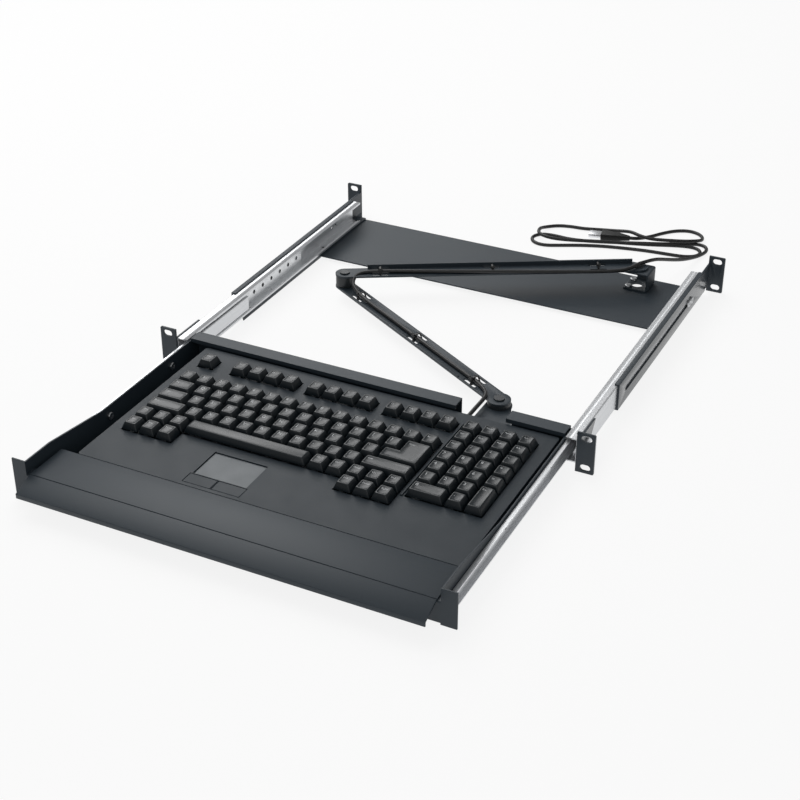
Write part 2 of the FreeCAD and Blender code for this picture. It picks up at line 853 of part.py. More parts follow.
def key_groups():
    """The keyboard's layout: each node's keys, rows counted from the front."""
    pad_rows = [one for row in range(3, 8) for one in run(0, row, 4, "pad")]
    return [
        ("key_escape", run(0, 7, 1)),
        ("keys_function", run(2, 7, 4) + run(6.5, 7, 4) + run(11, 7, 4)),
        ("keys_number_row", run(0, 5, 15)),
        ("key_tab", [key(0, 4, 1.5)]),
        ("keys_upper_row", run(1.5, 4, 12)),
        ("key_caps_lock", [key(0, 3, 1.75)]),
        ("keys_home_row", run(1.75, 3, 11)),
        ("key_enter", [key(12.75, 3, enter_units, 2.0, shape="enter")]),
        ("key_shift_left", [key(0, 2, 2.25)]),
        ("keys_lower_row", run(2.25, 2, 10)),
        ("key_shift_right", [key(12.25, 2, 2.75)]),
        ("keys_modifier", run(0, 1, 3) + run(0, 0, 3)),
        ("key_space", [key(3, 1, 7.0, shape="space")]),
        ("keys_bottom_right", run(10, 1, 5)),
        ("keys_arrow", run(12, 0, 3)),
        ("keys_pad", pad_rows + run(0, 2, 3, "pad")),
        ("key_pad_enter", [key(3, 1, 1.0, 2.0, "pad")]),
        ("key_pad_zero", [key(0, 1, 2.0, 1.0, "pad")]),
        ("key_pad_point", run(2, 1, 1, "pad")),
    ]


def key_corner(one):
    """The front left corner of a key's cell."""
    left = main_left if one["block"] == "main" else pad_block_left
    return left + one["column"] * key_pitch, row_y(one["row"]) - key_pitch / 2


def stem_place(one):
    """The middle of a key's stem."""
    x, y = key_corner(one)
    return x + one["width"] * key_pitch / 2, y + one["height"] * key_pitch / 2


def cap_outline(width, height, inset_x, inset_y, z):
    """A cap's outline at one height, from its cell's corner."""
    x0 = key_gap / 2 + inset_x
    y0 = key_gap / 2 + inset_y
    x1 = width * key_pitch - x0
    y1 = height * key_pitch - y0
    return [Vector(x0, y0, z), Vector(x1, y0, z), Vector(x1, y1, z), Vector(x0, y1, z)]


def enter_outline(inset_x, inset_y, z):
    """The L-shaped enter key's outline at one height, from its cell's corner."""
    x0 = key_gap / 2 + inset_x
    y0 = key_gap / 2 + inset_y
    x1 = enter_units * key_pitch - x0
    y1 = 2 * key_pitch - y0
    x_step = enter_step_units * key_pitch + x0
    y_step = key_pitch - y0
    return [
        Vector(x0, y0, z), Vector(x1, y0, z), Vector(x1, y1, z),
        Vector(x_step, y1, z), Vector(x_step, y_step, z), Vector(x0, y_step, z),
    ]


def tapered(low, high):
    """A solid between two like outlines, with plane sides."""
    faces = [Part.Face(Part.makePolygon(points + [points[0]])) for points in (low, high)]
    count = len(low)
    for index in range(count):
        after = (index + 1) % count
        side = [low[index], low[after], high[after], high[index], low[index]]
        faces.append(Part.Face(Part.makePolygon(side)))
    return Part.makeSolid(Part.makeShell(faces))


def cap_solid(width, height, shape):
    """A hollow cap with its stem, built at its cell's corner."""
    z0 = deck_top + cap_lift
    z1 = z0 + cap_height
    inner_top = z1 - dish_depth - cap_wall
    share = (inner_top - z0) / cap_height

    def outline(inset_x, inset_y, z):
        if shape == "enter":
            return enter_outline(inset_x, inset_y, z)
        return cap_outline(width, height, inset_x, inset_y, z)

    outside = tapered(outline(0, 0, z0), outline(cap_inset_x, cap_inset_y, z1))
    inside = tapered(
        outline(cap_wall, cap_wall, z0),
        outline(cap_wall + cap_inset_x * share, cap_wall + cap_inset_y * share, inner_top),
    )
    cap = outside.cut(inside)
    chord = width * key_pitch - key_gap - 2 * cap_inset_x
    if shape == "cap":
        radius = chord * chord / (8 * dish_depth) + dish_depth / 2
        base = Vector(width * key_pitch / 2, 0, z1 - dish_depth + radius)
        cap = cap.cut(Part.makeCylinder(radius, height * key_pitch, base, Vector(0, 1, 0)))
    x = width * key_pitch / 2
    y = height * key_pitch / 2
    half = stem_width / 2
    return cap.fuse(box(x - half, x + half, y - half, y + half, stem_bottom, inner_top)).removeSplitter()


def key_caps():
    """Every node of keys as a group of caps."""
    made = {}
    nodes = {}
    for name, keys in key_groups():
        caps = []
        for one in keys:
            size = (one["width"], one["height"], one["shape"])
            if size not in made:
                made[size] = cap_solid(*size)
            x, y = key_corner(one)
            cap = made[size].copy()
            cap.translate(Vector(x, y, 0))
            caps.append(cap)
        nodes[name] = caps
    return nodes


def switch_sheet():
    """The membrane sheet on the ribs under the keys."""
    w = case_wall
    y0 = row_y(0) - key_pitch / 2 - rib_wall / 2
    y1 = row_y(7) - key_pitch / 2 + key_pitch
    sheet = box(case_left + w, case_right - w, y0, y1, sheet_top - sheet_wall, sheet_top)
    for x, y in case_screw_places():
        sheet = sheet.cut(post(x, y, sheet_top - sheet_wall, sheet_top, case_boss_radius + stem_play))
    return sheet


def circuit_board():
    """The controller board behind the keys, with its chip and cable header."""
    x1 = board_right_x()
    x0 = x1 - board_length
    y1 = case_rear - case_wall - board_gap
    y0 = y1 - board_width
    z0 = floor_top + board_lift
    z1 = z0 + board_wall
    board = box(x0, x1, y0, y1, z0, z1)
    chip_x = x0 + chip_start
    chip = box(chip_x, chip_x + chip_length, y0 + chip_inset, y1 - chip_inset, z1, z1 + board_wall)
    pin_x = x0 + header_start
    header = box(pin_x, pin_x + chip_length, y0 + header_inset, y1 - header_inset, z1, z1 + 2 * board_wall)
    return board.fuse([chip, header]).removeSplitter()


def case_screws():
    """The four long screws through the tray's pan into the keyboard's upper case."""
    screws = []
    for x, y in case_screw_places():
        shank = post(x, y, pan_height, deck_bottom, case_screw_radius)
        head = post(x, y, pan_height - case_screw_head_height, pan_height, case_screw_head)
        screws.append(shank.fuse(head).removeSplitter())
    return screws


def grommet_place():
    """Where the cable leaves the keyboard's rear face."""
    height = (floor_top + case_split) / 2
    return Vector(rail_gap_left + 2 * grommet_radius, case_rear, height)


def cable_grommet():
    """The strain relief on the keyboard's rear face: a stepped, tapered sleeve."""
    inner = cable_radius + cable_lift
    profile = [
        Vector(inner, 0, -case_wall),
        Vector(grommet_radius, 0, -case_wall),
        Vector(grommet_radius, 0, grommet_step),
        Vector(cable_radius + grommet_lip, 0, grommet_length),
        Vector(inner, 0, grommet_length),
    ]
    face = Part.Face(Part.makePolygon(profile + [profile[0]]))
    sleeve = face.revolve(Vector(0, 0, 0), Vector(0, 0, 1), 360)
    turn = FreeCAD.Rotation(Vector(0, 0, 1), Vector(0, 1, 0))
    sleeve.Placement = FreeCAD.Placement(grommet_place(), turn)
    return sleeve


def elbow_place():
    """Where the two links meet: both link lengths laid off from their outer pivots."""
    gap = front_pivot - rear_pivot
    d = gap.Length
    along = (rear_link_length ** 2 - front_link_length ** 2 + d * d) / (2 * d)
    across = math.sqrt(rear_link_length ** 2 - along * along)
    unit = Vector(gap).normalize()
    return rear_pivot + unit * along + Vector(unit.y, -unit.x, 0) * across


elbow = elbow_place()


def link_axes(start, end):
    """Unit vectors along a link and across it, to its left."""
    along = Vector(end - start).normalize()
    return along, Vector(-along.y, along.x, 0)


def link_bar(start, end, z0):
    """A flat link with round ends, pivot holes and pairs of tie slots."""
    along, across = link_axes(start, end)
    length = (end - start).Length
    middle = (start + end) * 0.5 + Vector(0, 0, z0)
    lift = Vector(0, 0, link_sheet)
    bar = stadium(middle, along, across, length / 2, link_radius, lift)
    for place in (start, end):
        bar = bar.cut(post(place.x, place.y, z0, z0 + link_sheet, pivot_radius + pivot_play))
    half = (tie_slot_length - tie_slot_width) / 2
    for station in tie_stations:
        for side in (-1, 1):
            centre = start + along * (station * length) + across * (side * tie_slot_offset)
            slot = stadium(centre + Vector(0, 0, z0), along, across, half, tie_slot_width / 2, lift)
            bar = bar.cut(slot)
    return bar


def upright(start, end, offset, from_start, from_end, z0, z1):
    """An upstanding flange along one edge of a link."""
    along, across = link_axes(start, end)
    a = start + along * from_start + across * offset + Vector(0, 0, z0)
    b = end - along * from_end + across * offset + Vector(0, 0, z0)
    step = across * (-math.copysign(link_sheet, offset))
    return prism([a, b, b + step, a + step], Vector(0, 0, z1 - z0))


def rear_link():
    """The upper link, from the elbow to the rack, with a flange along its rear edge."""
    bar = link_bar(elbow, rear_pivot, rear_link_bottom)
    flange = upright(
        elbow, rear_pivot, link_radius, flange_start, flange_end,
        rear_link_bottom, rear_link_top + link_flange,
    )
    return bar.fuse(flange).removeSplitter()


def front_link():
    """The lower link, from the elbow to the tray, with a flange along its front edge."""
    bar = link_bar(elbow, front_pivot, front_link_bottom)
    boss = post(front_pivot.x, front_pivot.y, front_link_bottom, front_link_top, front_boss_radius)
    hole = post(front_pivot.x, front_pivot.y, front_link_bottom, front_link_top, pivot_radius + pivot_play)
    flange = upright(
        elbow, front_pivot, -link_radius, spacer_radius, tail_turn + tie_slot_length,
        front_link_bottom, front_link_top + link_flange / 2,
    )
    return bar.fuse([boss.cut(hole), flange]).removeSplitter()


def turned_pin(place, steps):
    """A pin turned to (radius, low, high) steps."""
    pieces = [post(place.x, place.y, z0, z1, radius) for radius, z0, z1 in steps]
    return pieces[0].fuse(pieces[1:]).removeSplitter()


def elbow_rivet():
    """The elbow's rivet with the spacer between the links."""
    low = front_link_bottom - face_gap
    high = rear_link_top + face_gap
    return turned_pin(
        elbow,
        [
            (pivot_radius, low - pivot_head_height, high + pivot_head_height),
            (pivot_head, low - pivot_head_height, low),
            (pivot_head, high, high + pivot_head_height),
            (spacer_radius, front_link_top + face_gap, rear_link_bottom - face_gap),
        ],
    )


def front_pivot_pin():
    """The rivet and spacer on the tray's tab, under the lower link."""
    high = front_link_top + face_gap
    return turned_pin(
        front_pivot,
        [
            (pivot_radius, pan_height, high + pivot_head_height),
            (front_boss_radius, pan_top, front_link_bottom - face_gap),
            (pivot_head, high, high + pivot_head_height),
        ],
    )


def rear_pivot_pin():
    """The upper link's pin in the arm bracket's slotted hole."""
    low = arm_bracket_top - bracket_sheet - face_gap
    high = rear_link_top
    return turned_pin(
        rear_pivot,
        [
            (pivot_radius, low - pivot_head_height, high + pivot_head_height / 2),
            (pivot_head + pivot_radius / 2, low - pivot_head_height, low),
            (pivot_head, high, high + pivot_head_height / 2),
        ],
    )


def tie(start, end, station, z0):
    """A cable tie: a band round the cable, through the two slots and under the link."""
    along, across = link_axes(start, end)
    place = start + along * (station * (end - start).Length) + Vector(0, 0, z0)
    top = link_sheet + cable_lift + cable_diameter + cable_lift
    half = tie_slot_offset + tie_wall / 2

    def band(half_width, low, high):
        a = place - along * (tie_width / 2) - across * half_width + Vector(0, 0, low)
        b = place - along * (tie_width / 2) + across * half_width + Vector(0, 0, low)
        c = b + Vector(0, 0, high - low)
        d = a + Vector(0, 0, high - low)
        return prism([a, b, c, d], along * tie_width)

    outside = band(half, -tie_wall - cable_lift, top + tie_wall)
    return outside.cut(band(half - tie_wall, -cable_lift, top))


def ties(start, end, z0):
    """The cable ties of one link."""
    return [tie(start, end, station, z0) for station in tie_stations]


def tube(points, diameter):
    """A round cable along straight runs joined by tangent arcs, with its bend radii."""
    share = 0.45
    runs = [(b - a).Length for a, b in zip(points, points[1:])]
    edges = []
    radii = []
    length = 0.0
    start = points[0]
    for index in range(1, len(points) - 1):
        corner = points[index]
        back = Vector(points[index - 1] - corner).normalize()
        ahead = Vector(points[index + 1] - corner).normalize()
        turn = math.pi - back.getAngle(ahead)
        trim = share * min(runs[index - 1], runs[index])
        radius = trim / math.tan(turn / 2)
        inward = Vector(back + ahead).normalize()
        reach = radius / math.cos(turn / 2) - radius
        entry = corner + back * trim
        leave = corner + ahead * trim
        edges.append(Part.LineSegment(start, entry).toShape())
        edges.append(Part.Arc(entry, corner + inward * reach, leave).toShape())
        length += (entry - start).Length + radius * turn
        radii.append(round(radius, 1))
        start = leave
    edges.append(Part.LineSegment(start, points[-1]).toShape())
    length += (points[-1] - start).Length
    direction = Vector(points[1] - points[0]).normalize()
    section = Part.Wire(Part.makeCircle(diameter / 2, points[0], direction))
    solid = Part.Wire(edges).makePipeShell([section], True, True)
    return solid, length, radii


def rear_cable():
    """The cable on the upper link."""
    along, _ = link_axes(elbow, rear_pivot)
    z = Vector(0, 0, rear_link_top + cable_lift + cable_radius)
    start = elbow + along * elbow_cable_gap + z
    length = rear_link_length - elbow_cable_gap - rear_cable_gap
    return Part.makeCylinder(cable_radius, length, start, along)


def front_cable():
    """The cable on the lower link, up to where it turns off towards the keyboard."""
    along, _ = link_axes(elbow, front_pivot)
    z = Vector(0, 0, front_link_top + cable_lift + cable_radius)
    start = elbow + along * elbow_cable_gap + z
    length = front_link_length - elbow_cable_gap - tail_turn
    return Part.makeCylinder(cable_radius, length, start, along)


def cable_tail():
    """The short free end of the cable from the keyboard's strain relief towards the arm."""
    start = grommet_place()
    bend = start + Vector(0, tail_drop + grommet_length, 0)
    rise = bend + Vector(-1, tail_drop, 1)
    return tube([start, bend, rise], cable_diameter)


# The free cable: from the arm's rear pivot down to the bundle on the floor, chosen by hand.
# Its places are steps from the pivot.
lead_points = [
    rear_pivot + Vector(0.0, 0.3, 33.4),
    rear_pivot + Vector(7.0, 12.7, 33.0),
    rear_pivot + Vector(12.0, 25.7, 30.5),
    rear_pivot + Vector(17.0, 40.2, 25.0),
    rear_pivot + Vector(23.0, 57.7, 18.0),
    rear_pivot + Vector(29.5, 77.7, 11.0),
    rear_pivot + Vector(34.5, 98.7, 6.0),
    rear_pivot + Vector(35.0, 121.7, 4.4),
]

# The bundle: a tied waist of strands with a round loop at each end, lying on the floor.
bundle_height = 8.8
bundle_left = rear_pivot + Vector(-145.5, 74.2, 0)
bundle_right = rear_pivot + Vector(28.5, 125.7, 0)
bundle_radius = 8.5
left_loop_a = rear_pivot + Vector(-140.5, 90.7, 0)
left_loop_b = rear_pivot + Vector(-124.5, 102.7, 0)
left_loop_radius = 13.5
right_loop_a = rear_pivot + Vector(-37.5, 124.7, 0)
right_loop_b = rear_pivot + Vector(11.0, 158.7, 0)
right_loop_radius = 14.5

# The plug beside the bundle: where its cable enters, where it points, and its sizes.
plug_entry = rear_pivot + Vector(-50.5, 119.7, 0)
plug_tip = rear_pivot + Vector(-103.5, 109.2, 0)
plug_width = 16.0
plug_thickness = 8.2
plug_neck = 6.5
plug_body_length = 22.0
plug_neck_length = 13.0
shell_width = 12.0
shell_thickness = 4.5
shell_wall = 0.5
shell_length = 15.0


def cable_bundle():
    """The outer shape of the bundle."""
    lift = Vector(0, 0, bundle_height)

    def lobe(a, b, radius):
        along, across = link_axes(a, b)
        return stadium((a + b) * 0.5, along, across, (b - a).Length / 2, radius, lift)

    waist = lobe(bundle_left, bundle_right, bundle_radius)
    left = lobe(left_loop_a, left_loop_b, left_loop_radius)
    right = lobe(right_loop_a, right_loop_b, right_loop_radius)
    return waist.fuse([left, right]).removeSplitter()


def plug_pieces():
    """The moulded plug body with its tapered neck, and the metal shell with its tongue."""
    along, across = link_axes(plug_entry, plug_tip)
    middle = Vector(0, 0, plug_thickness / 2)

    def section(place, width, thickness):
        a = across * (width / 2)
        b = Vector(0, 0, thickness / 2)
        return [place - a - b, place + a - b, place + a + b, place - a + b]

    entry = plug_entry + middle
    shoulder = entry + along * plug_neck_length
    front = shoulder + along * plug_body_length
    neck = tapered(section(entry, plug_neck, plug_neck), section(shoulder, plug_width, plug_thickness))
    body = prism(section(shoulder, plug_width, plug_thickness), along * plug_body_length)
    sleeve = prism(section(front, shell_width, shell_thickness), along * shell_length)
    hollow = prism(
        section(front, shell_width - 2 * shell_wall, shell_thickness - 2 * shell_wall), along * shell_length
    )
    tongue_place = front + Vector(0, 0, shell_thickness / 4 - shell_wall / 2)
    tongue = prism(
        section(tongue_place, shell_width - 2 * shell_wall, shell_thickness / 2 - shell_wall),
        along * (shell_length - 2),
    )
    moulded = neck.fuse([body, tongue]).removeSplitter()
    return moulded, sleeve.cut(hollow)


def build():
    """Every node of the part by name."""
    outer, inner = slide_members()
    cage = ball_cage()
    front = front_bracket()
    rear = rear_bracket()
    tail, tail_length, tail_radii = cable_tail()
    lead, lead_length, lead_radii = tube(lead_points, cable_diameter)
    area = math.pi * cable_radius ** 2
    print("tail", round(tail_length, 1), "radii", tail_radii, "volume", tail.Volume / (area * tail_length))
    print("lead", round(lead_length, 1), "radii", lead_radii, "volume", lead.Volume / (area * lead_length))
    plug_body, plug_shell = plug_pieces()
    nodes = {
        "front_bracket_right": [front],
        "front_bracket_left": [mirrored(front)],
        "rear_bracket_right": [rear],
        "rear_bracket_left": [mirrored(rear)],
        "slide_outer_right": [outer],
        "slide_outer_left": [mirrored(outer)],
        "slide_inner_right": [inner],
        "slide_inner_left": [mirrored(inner)],
        "ball_cages": cage + [mirrored(piece) for piece in cage],
        "rear_plate": [rear_plate()],
        "arm_bracket": [arm_bracket()],
        "rack_screws": rack_screws(),
        "tray": [tray()],
        "palm_ledge": [palm_ledge()],
        "tray_screws": tray_screws(),
        "keyboard_base": [keyboard_base()],
        "keyboard_top": [keyboard_top()],
        "switch_sheet": [switch_sheet()],
        "circuit_board": [circuit_board()],
        "touchpad": [touchpad()],
        "touchpad_button_left": [touchpad_button(0)],
        "touchpad_button_right": [touchpad_button(1)],
        "case_screws": case_screws(),
        "cable_grommet": [cable_grommet()],
        "rear_link": [rear_link()],
        "front_link": [front_link()],
        "elbow_rivet": [elbow_rivet()],
        "front_pivot_pin": [front_pivot_pin()],
        "rear_pivot_pin": [rear_pivot_pin()],
        "ties_rear": ties(elbow, rear_pivot, rear_link_bottom),
        "ties_front": ties(elbow, front_pivot, front_link_bottom),
        "cable_rear": [rear_cable()],
        "cable_front": [front_cable()],
        "cable_tail": [tail],
        "cable_lead": [lead],
        "cable_bundle": [cable_bundle()],
        "plug_body": [plug_body],
        "plug_shell": [plug_shell],
    }
    nodes.update(key_caps())
    return nodes


def write(nodes):
    """Write each node's solids to its own file."""
    os.makedirs("parts", exist_ok=True)
    for name, solids in nodes.items():
        shape = solids[0] if len(solids) == 1 else Part.makeCompound(solids)
        shape.exportStep(os.path.join("parts", name + ".step"))


write(build())
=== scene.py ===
"""The looks of a rack drawer with a keyboard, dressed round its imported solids, in metres."""
import logging
import math
from contextlib import contextmanager
from dataclasses import dataclass, field
from enum import Enum
from typing import Callable, Iterator, Sequence

import bmesh
import bpy
from mathutils import Matrix, Vector


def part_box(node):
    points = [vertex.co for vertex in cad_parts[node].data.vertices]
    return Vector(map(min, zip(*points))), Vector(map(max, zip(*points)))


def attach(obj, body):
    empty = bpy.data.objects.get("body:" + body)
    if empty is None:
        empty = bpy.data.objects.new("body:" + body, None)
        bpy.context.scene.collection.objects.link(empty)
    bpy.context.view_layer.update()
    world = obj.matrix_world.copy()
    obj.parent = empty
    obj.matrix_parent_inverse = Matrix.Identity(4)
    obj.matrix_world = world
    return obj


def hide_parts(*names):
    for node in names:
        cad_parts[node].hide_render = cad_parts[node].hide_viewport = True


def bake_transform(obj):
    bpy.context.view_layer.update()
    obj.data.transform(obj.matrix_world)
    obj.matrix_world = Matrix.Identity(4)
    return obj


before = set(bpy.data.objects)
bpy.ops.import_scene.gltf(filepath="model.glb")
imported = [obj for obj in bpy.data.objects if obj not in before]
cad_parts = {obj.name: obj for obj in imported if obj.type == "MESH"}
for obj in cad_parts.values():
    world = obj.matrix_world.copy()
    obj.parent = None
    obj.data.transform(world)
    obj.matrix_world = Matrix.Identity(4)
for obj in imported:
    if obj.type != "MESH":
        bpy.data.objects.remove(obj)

log = logging.getLogger("rack_drawer")

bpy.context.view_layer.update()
MILLIMETRE = 0.001
# Where the brackets' webs stand, to the left and right of the middle.
WEB_SIDE = 222.7 * MILLIMETRE
# Points closer than this become one.
MERGE_GAP = 0.002 * MILLIMETRE
# A face looks along an axis when its direction reaches this far along it.
SQUARE_ON = 0.9
# Faces that meet at less than this shade as one.
SMOOTH_LIMIT = math.radians(35.0)

Colour = tuple[float, float, float, float]
Point = tuple[float, float, float]
WHITE: Colour = (1.0, 1.0, 1.0, 1.0)


def paint(red: int, green: int, blue: int) -> Colour:
    """A colour as seen on a screen, turned to linear light.

    Args:
        red, green, blue: the three parts, from 0 to 255.

    Returns:
        The colour in linear light, opaque.
    """
    def linear(part: int) -> float:
        """One part of the colour in linear light."""
        share = part / 255
        return share / 12.92 if share <= 0.04045 else ((share + 0.055) / 1.055) ** 2.4

    return linear(red), linear(green), linear(blue), 1.0


class Slot(Enum):
    """Names of material slots for the pieces made here."""

    BLACK_PAINT = "black_paint"
    BRIGHT_STEEL = "bright_steel"
    KEY_PLASTIC = "key_plastic"
    SOFT_RUBBER = "soft_rubber"
    CABLE_BLACK = "cable_black"


class Element(Enum):
    """What a selection in edit mode picks."""

    VERTEX = "VERT"
    FACE = "FACE"


@dataclass(frozen=True)
class Signal:
    """A value on its way through a material's nodes, with plain arithmetic."""

    recipe: "NodeBook"
    socket: bpy.types.NodeSocket

    def _math(self, operation: str, first: "Signal | float", second: "Signal | float") -> "Signal":
        """Adds one Math node on two values."""
        node = self.recipe.node("ShaderNodeMath", {"operation": operation}, {0: first, 1: second})
        return Signal(self.recipe, node.outputs[0])

    def __add__(self, other: "Signal | float") -> "Signal":
        """The sum."""
        return self._math("ADD", self, other)

    __radd__ = __add__

    def __sub__(self, other: "Signal | float") -> "Signal":
        """The difference."""
        return self._math("SUBTRACT", self, other)

    def __rsub__(self, other: "Signal | float") -> "Signal":
        """The difference, the other way round."""
        return self._math("SUBTRACT", other, self)

    def __mul__(self, other: "Signal | float") -> "Signal":
        """The product."""
        return self._math("MULTIPLY", self, other)

    __rmul__ = __mul__

    def fraction(self) -> "Signal":
        """What is left past the last whole number."""
        return self._math("FRACT", self, 0.0)

    def above(self, low: float, high: float) -> "Signal":
        """A smooth step from 0 at low to 1 at high.

        Args:
            low, high: where the step starts and ends.

        Returns:
            The step as a value from 0 to 1.
        """
        node = self.recipe.node(
            "ShaderNodeMapRange",
            {"interpolation_type": "SMOOTHSTEP", "clamp": True},
            {0: self, 1: low, 2: high, 3: 0.0, 4: 1.0},
        )
        return Signal(self.recipe, node.outputs[0])


class NodeBook:
    """Adds nodes to one tree."""

    def __init__(self, tree: bpy.types.NodeTree) -> None:
        """Keeps the tree."""
        self.tree = tree

    def node(self, kind: str, settings: dict | None = None, sockets: dict | None = None) -> bpy.types.Node:
        """Adds any node.

        Args:
            kind: the node's type.
            settings: its own settings, set first.
            sockets: values or links of its inputs, by name or number.

        Returns:
            The new node.
        """
        made = self.tree.nodes.new(kind)
        for name, value in (settings or {}).items():
            setattr(made, name, value)
        for name, value in (sockets or {}).items():
            if isinstance(value, Signal):
                self.tree.links.new(value.socket, made.inputs[name])
            else:
                made.inputs[name].default_value = value
        return made


class Recipe(NodeBook):
    """Builds the nodes of one material."""

    def __init__(self, name: str) -> None:
        """Starts an empty material with its shader."""
        self.material = bpy.data.materials.new(name)
        self.material.use_nodes = True
        super().__init__(self.material.node_tree)
        self.shader = self.tree.nodes["Principled BSDF"]

    def place(self, stretch: Point = (1.0, 1.0, 1.0)) -> Signal:
        """The point on the piece, in its own frame, stretched along the axes."""
        point = Signal(self, self.node("ShaderNodeTexCoord").outputs["Object"])
        scaled = self.node("ShaderNodeVectorMath", {"operation": "MULTIPLY"}, {0: point, 1: stretch})
        return Signal(self, scaled.outputs[0])

    def noise(self, place: Signal, scale: float, detail: float = 2.0, rough: float = 0.5) -> Signal:
        """Soft noise from 0 to 1.

        Args:
            place: the point that it follows.
            scale: cells in a metre.
            detail: layers of finer noise.
            rough: how strong those are.

        Returns:
            The noise value.
        """
        sockets = {"Vector": place, "Scale": scale, "Detail": detail, "Roughness": rough}
        return Signal(self, self.node("ShaderNodeTexNoise", None, sockets).outputs[0])

    def cells(self, place: Signal, scale: float) -> Signal:
        """Distance to the nearest of scattered points, for moulded and cast textures."""
        made = self.node("ShaderNodeTexVoronoi", {"feature": "F1"}, {"Vector": place, "Scale": scale})
        return Signal(self, made.outputs["Distance"])

    def mix(self, factor: Signal | float, first: Signal | Colour, second: Signal | Colour) -> Signal:
        """A colour between two colours."""
        settings = {"data_type": "RGBA", "clamp_factor": True}
        made = self.node("ShaderNodeMix", settings, {0: factor, 6: first, 7: second})
        return Signal(self, made.outputs[2])

    def rounded(self, radius: float) -> Signal:
        """The surface's direction with its sharp edges rounded off."""
        made = self.node("ShaderNodeBevel", {"samples": 4}, {"Radius": radius})
        return Signal(self, made.outputs[0])

    def edges(self, rounded: Signal) -> Signal:
        """How near a sharp edge the point is, from 0 to 1."""
        plain = Signal(self, self.node("ShaderNodeNewGeometry").outputs["Normal"])
        dot = self.node("ShaderNodeVectorMath", {"operation": "DOT_PRODUCT"}, {0: rounded, 1: plain})
        return (1.0 - Signal(self, dot.outputs["Value"])).above(0.02, 0.25)

    def parts(self, vector: Signal) -> tuple[Signal, Signal, Signal]:
        """The three parts of a point or direction."""
        made = self.node("ShaderNodeSeparateXYZ", None, {0: vector})
        return tuple(Signal(self, socket) for socket in made.outputs)

    def facing(self) -> Signal:
        """The surface's direction, in the piece's own frame."""
        return Signal(self, self.node("ShaderNodeTexCoord").outputs["Normal"])

    def upward(self) -> Signal:
        """How far the surface faces up, from 0 to 1."""
        return self.parts(self.facing())[2].above(0.7, 0.95)

    def bump(
        self, height: Signal, depth: float, normal: Signal | None = None, strength: float = 1.0
    ) -> Signal:
        """Relief from a height.

        Args:
            height: the relief, from 0 to 1.
            depth: how deep a height of 1 is.
            normal: the direction that the relief is laid on.
            strength: the share of it that shows.

        Returns:
            The direction of the relief.
        """
        sockets = {"Height": height, "Distance": depth, "Strength": strength}
        if normal is not None:
            sockets["Normal"] = normal
        return Signal(self, self.node("ShaderNodeBump", None, sockets).outputs[0])

    def finish(self, **sockets: Signal | float | Colour) -> bpy.types.Material:
        """Joins what changes over the surface, and plain numbers, to the shader.

        Args:
            sockets: the shader's inputs, named with underscores for spaces.

        Returns:
            The finished material.
        """
        for name, value in sockets.items():
            target = self.shader.inputs[name.replace("_", " ")]
            if isinstance(value, Signal):
                self.tree.links.new(value.socket, target)
            else:
                target.default_value = value
        return self.material


@dataclass(frozen=True)
class Finish:
    """A finish, whose material is made once."""

    name: str

    def material(self) -> bpy.types.Material:
        """The finish's material."""
        return bpy.data.materials.get(self.name) or self.blend(Recipe(self.name))

    def blend(self, recipe: Recipe) -> bpy.types.Material:
        """Makes the material's nodes."""
        raise NotImplementedError


@dataclass(frozen=True)
class PowderCoat(Finish):
    """Satin black powder coat on folded sheet: a fine orange peel, with pale rubbed edges."""

    dark: Colour = paint(36, 46, 54)
    light: Colour = paint(47, 57, 65)
    rubbed: Colour = paint(104, 109, 112)
    peel: float = 1500.0
    gloss: float = 0.42
    wiped: float = 0.0
    cloud: float = 14.0
    speck: float = 5200.0
    wear: float = 220.0
    edge: float = 0.6 * MILLIMETRE
    relief: float = 0.05 * MILLIMETRE

    def coat(self, recipe: Recipe, place: Signal) -> Signal | float:
        """The clear gloss of faces that look outwards, where they are wiped."""
        if not self.wiped:
            return 0.0
        outward = recipe.parts(place)[0] * recipe.parts(recipe.facing())[0] * (1.0 / WEB_SIDE)
        return outward.above(0.6, 0.9) * self.wiped

    def blend(self, recipe: Recipe) -> bpy.types.Material:
        """Makes the material's nodes."""
        place = recipe.place()
        cloud = recipe.noise(place, self.cloud, 4.0)
        peel = recipe.noise(place, self.peel)
        speck = recipe.noise(place, self.speck, 1.0)
        round_off = recipe.rounded(self.edge)
        rub = recipe.edges(round_off) * recipe.noise(place, self.wear, 3.0).above(0.45, 0.75)
        base = recipe.mix(cloud * 0.7 + speck * 0.3, self.dark, self.light)
        return recipe.finish(
            Base_Color=recipe.mix(rub * 0.55, base, self.rubbed),
            Roughness=self.gloss + cloud * 0.08 + peel * 0.08,
            Coat_Weight=self.coat(recipe, place),
            Coat_Roughness=0.22,
            Normal=recipe.bump(peel * 0.7 + speck * 0.3, self.relief, round_off, 0.6),
        )


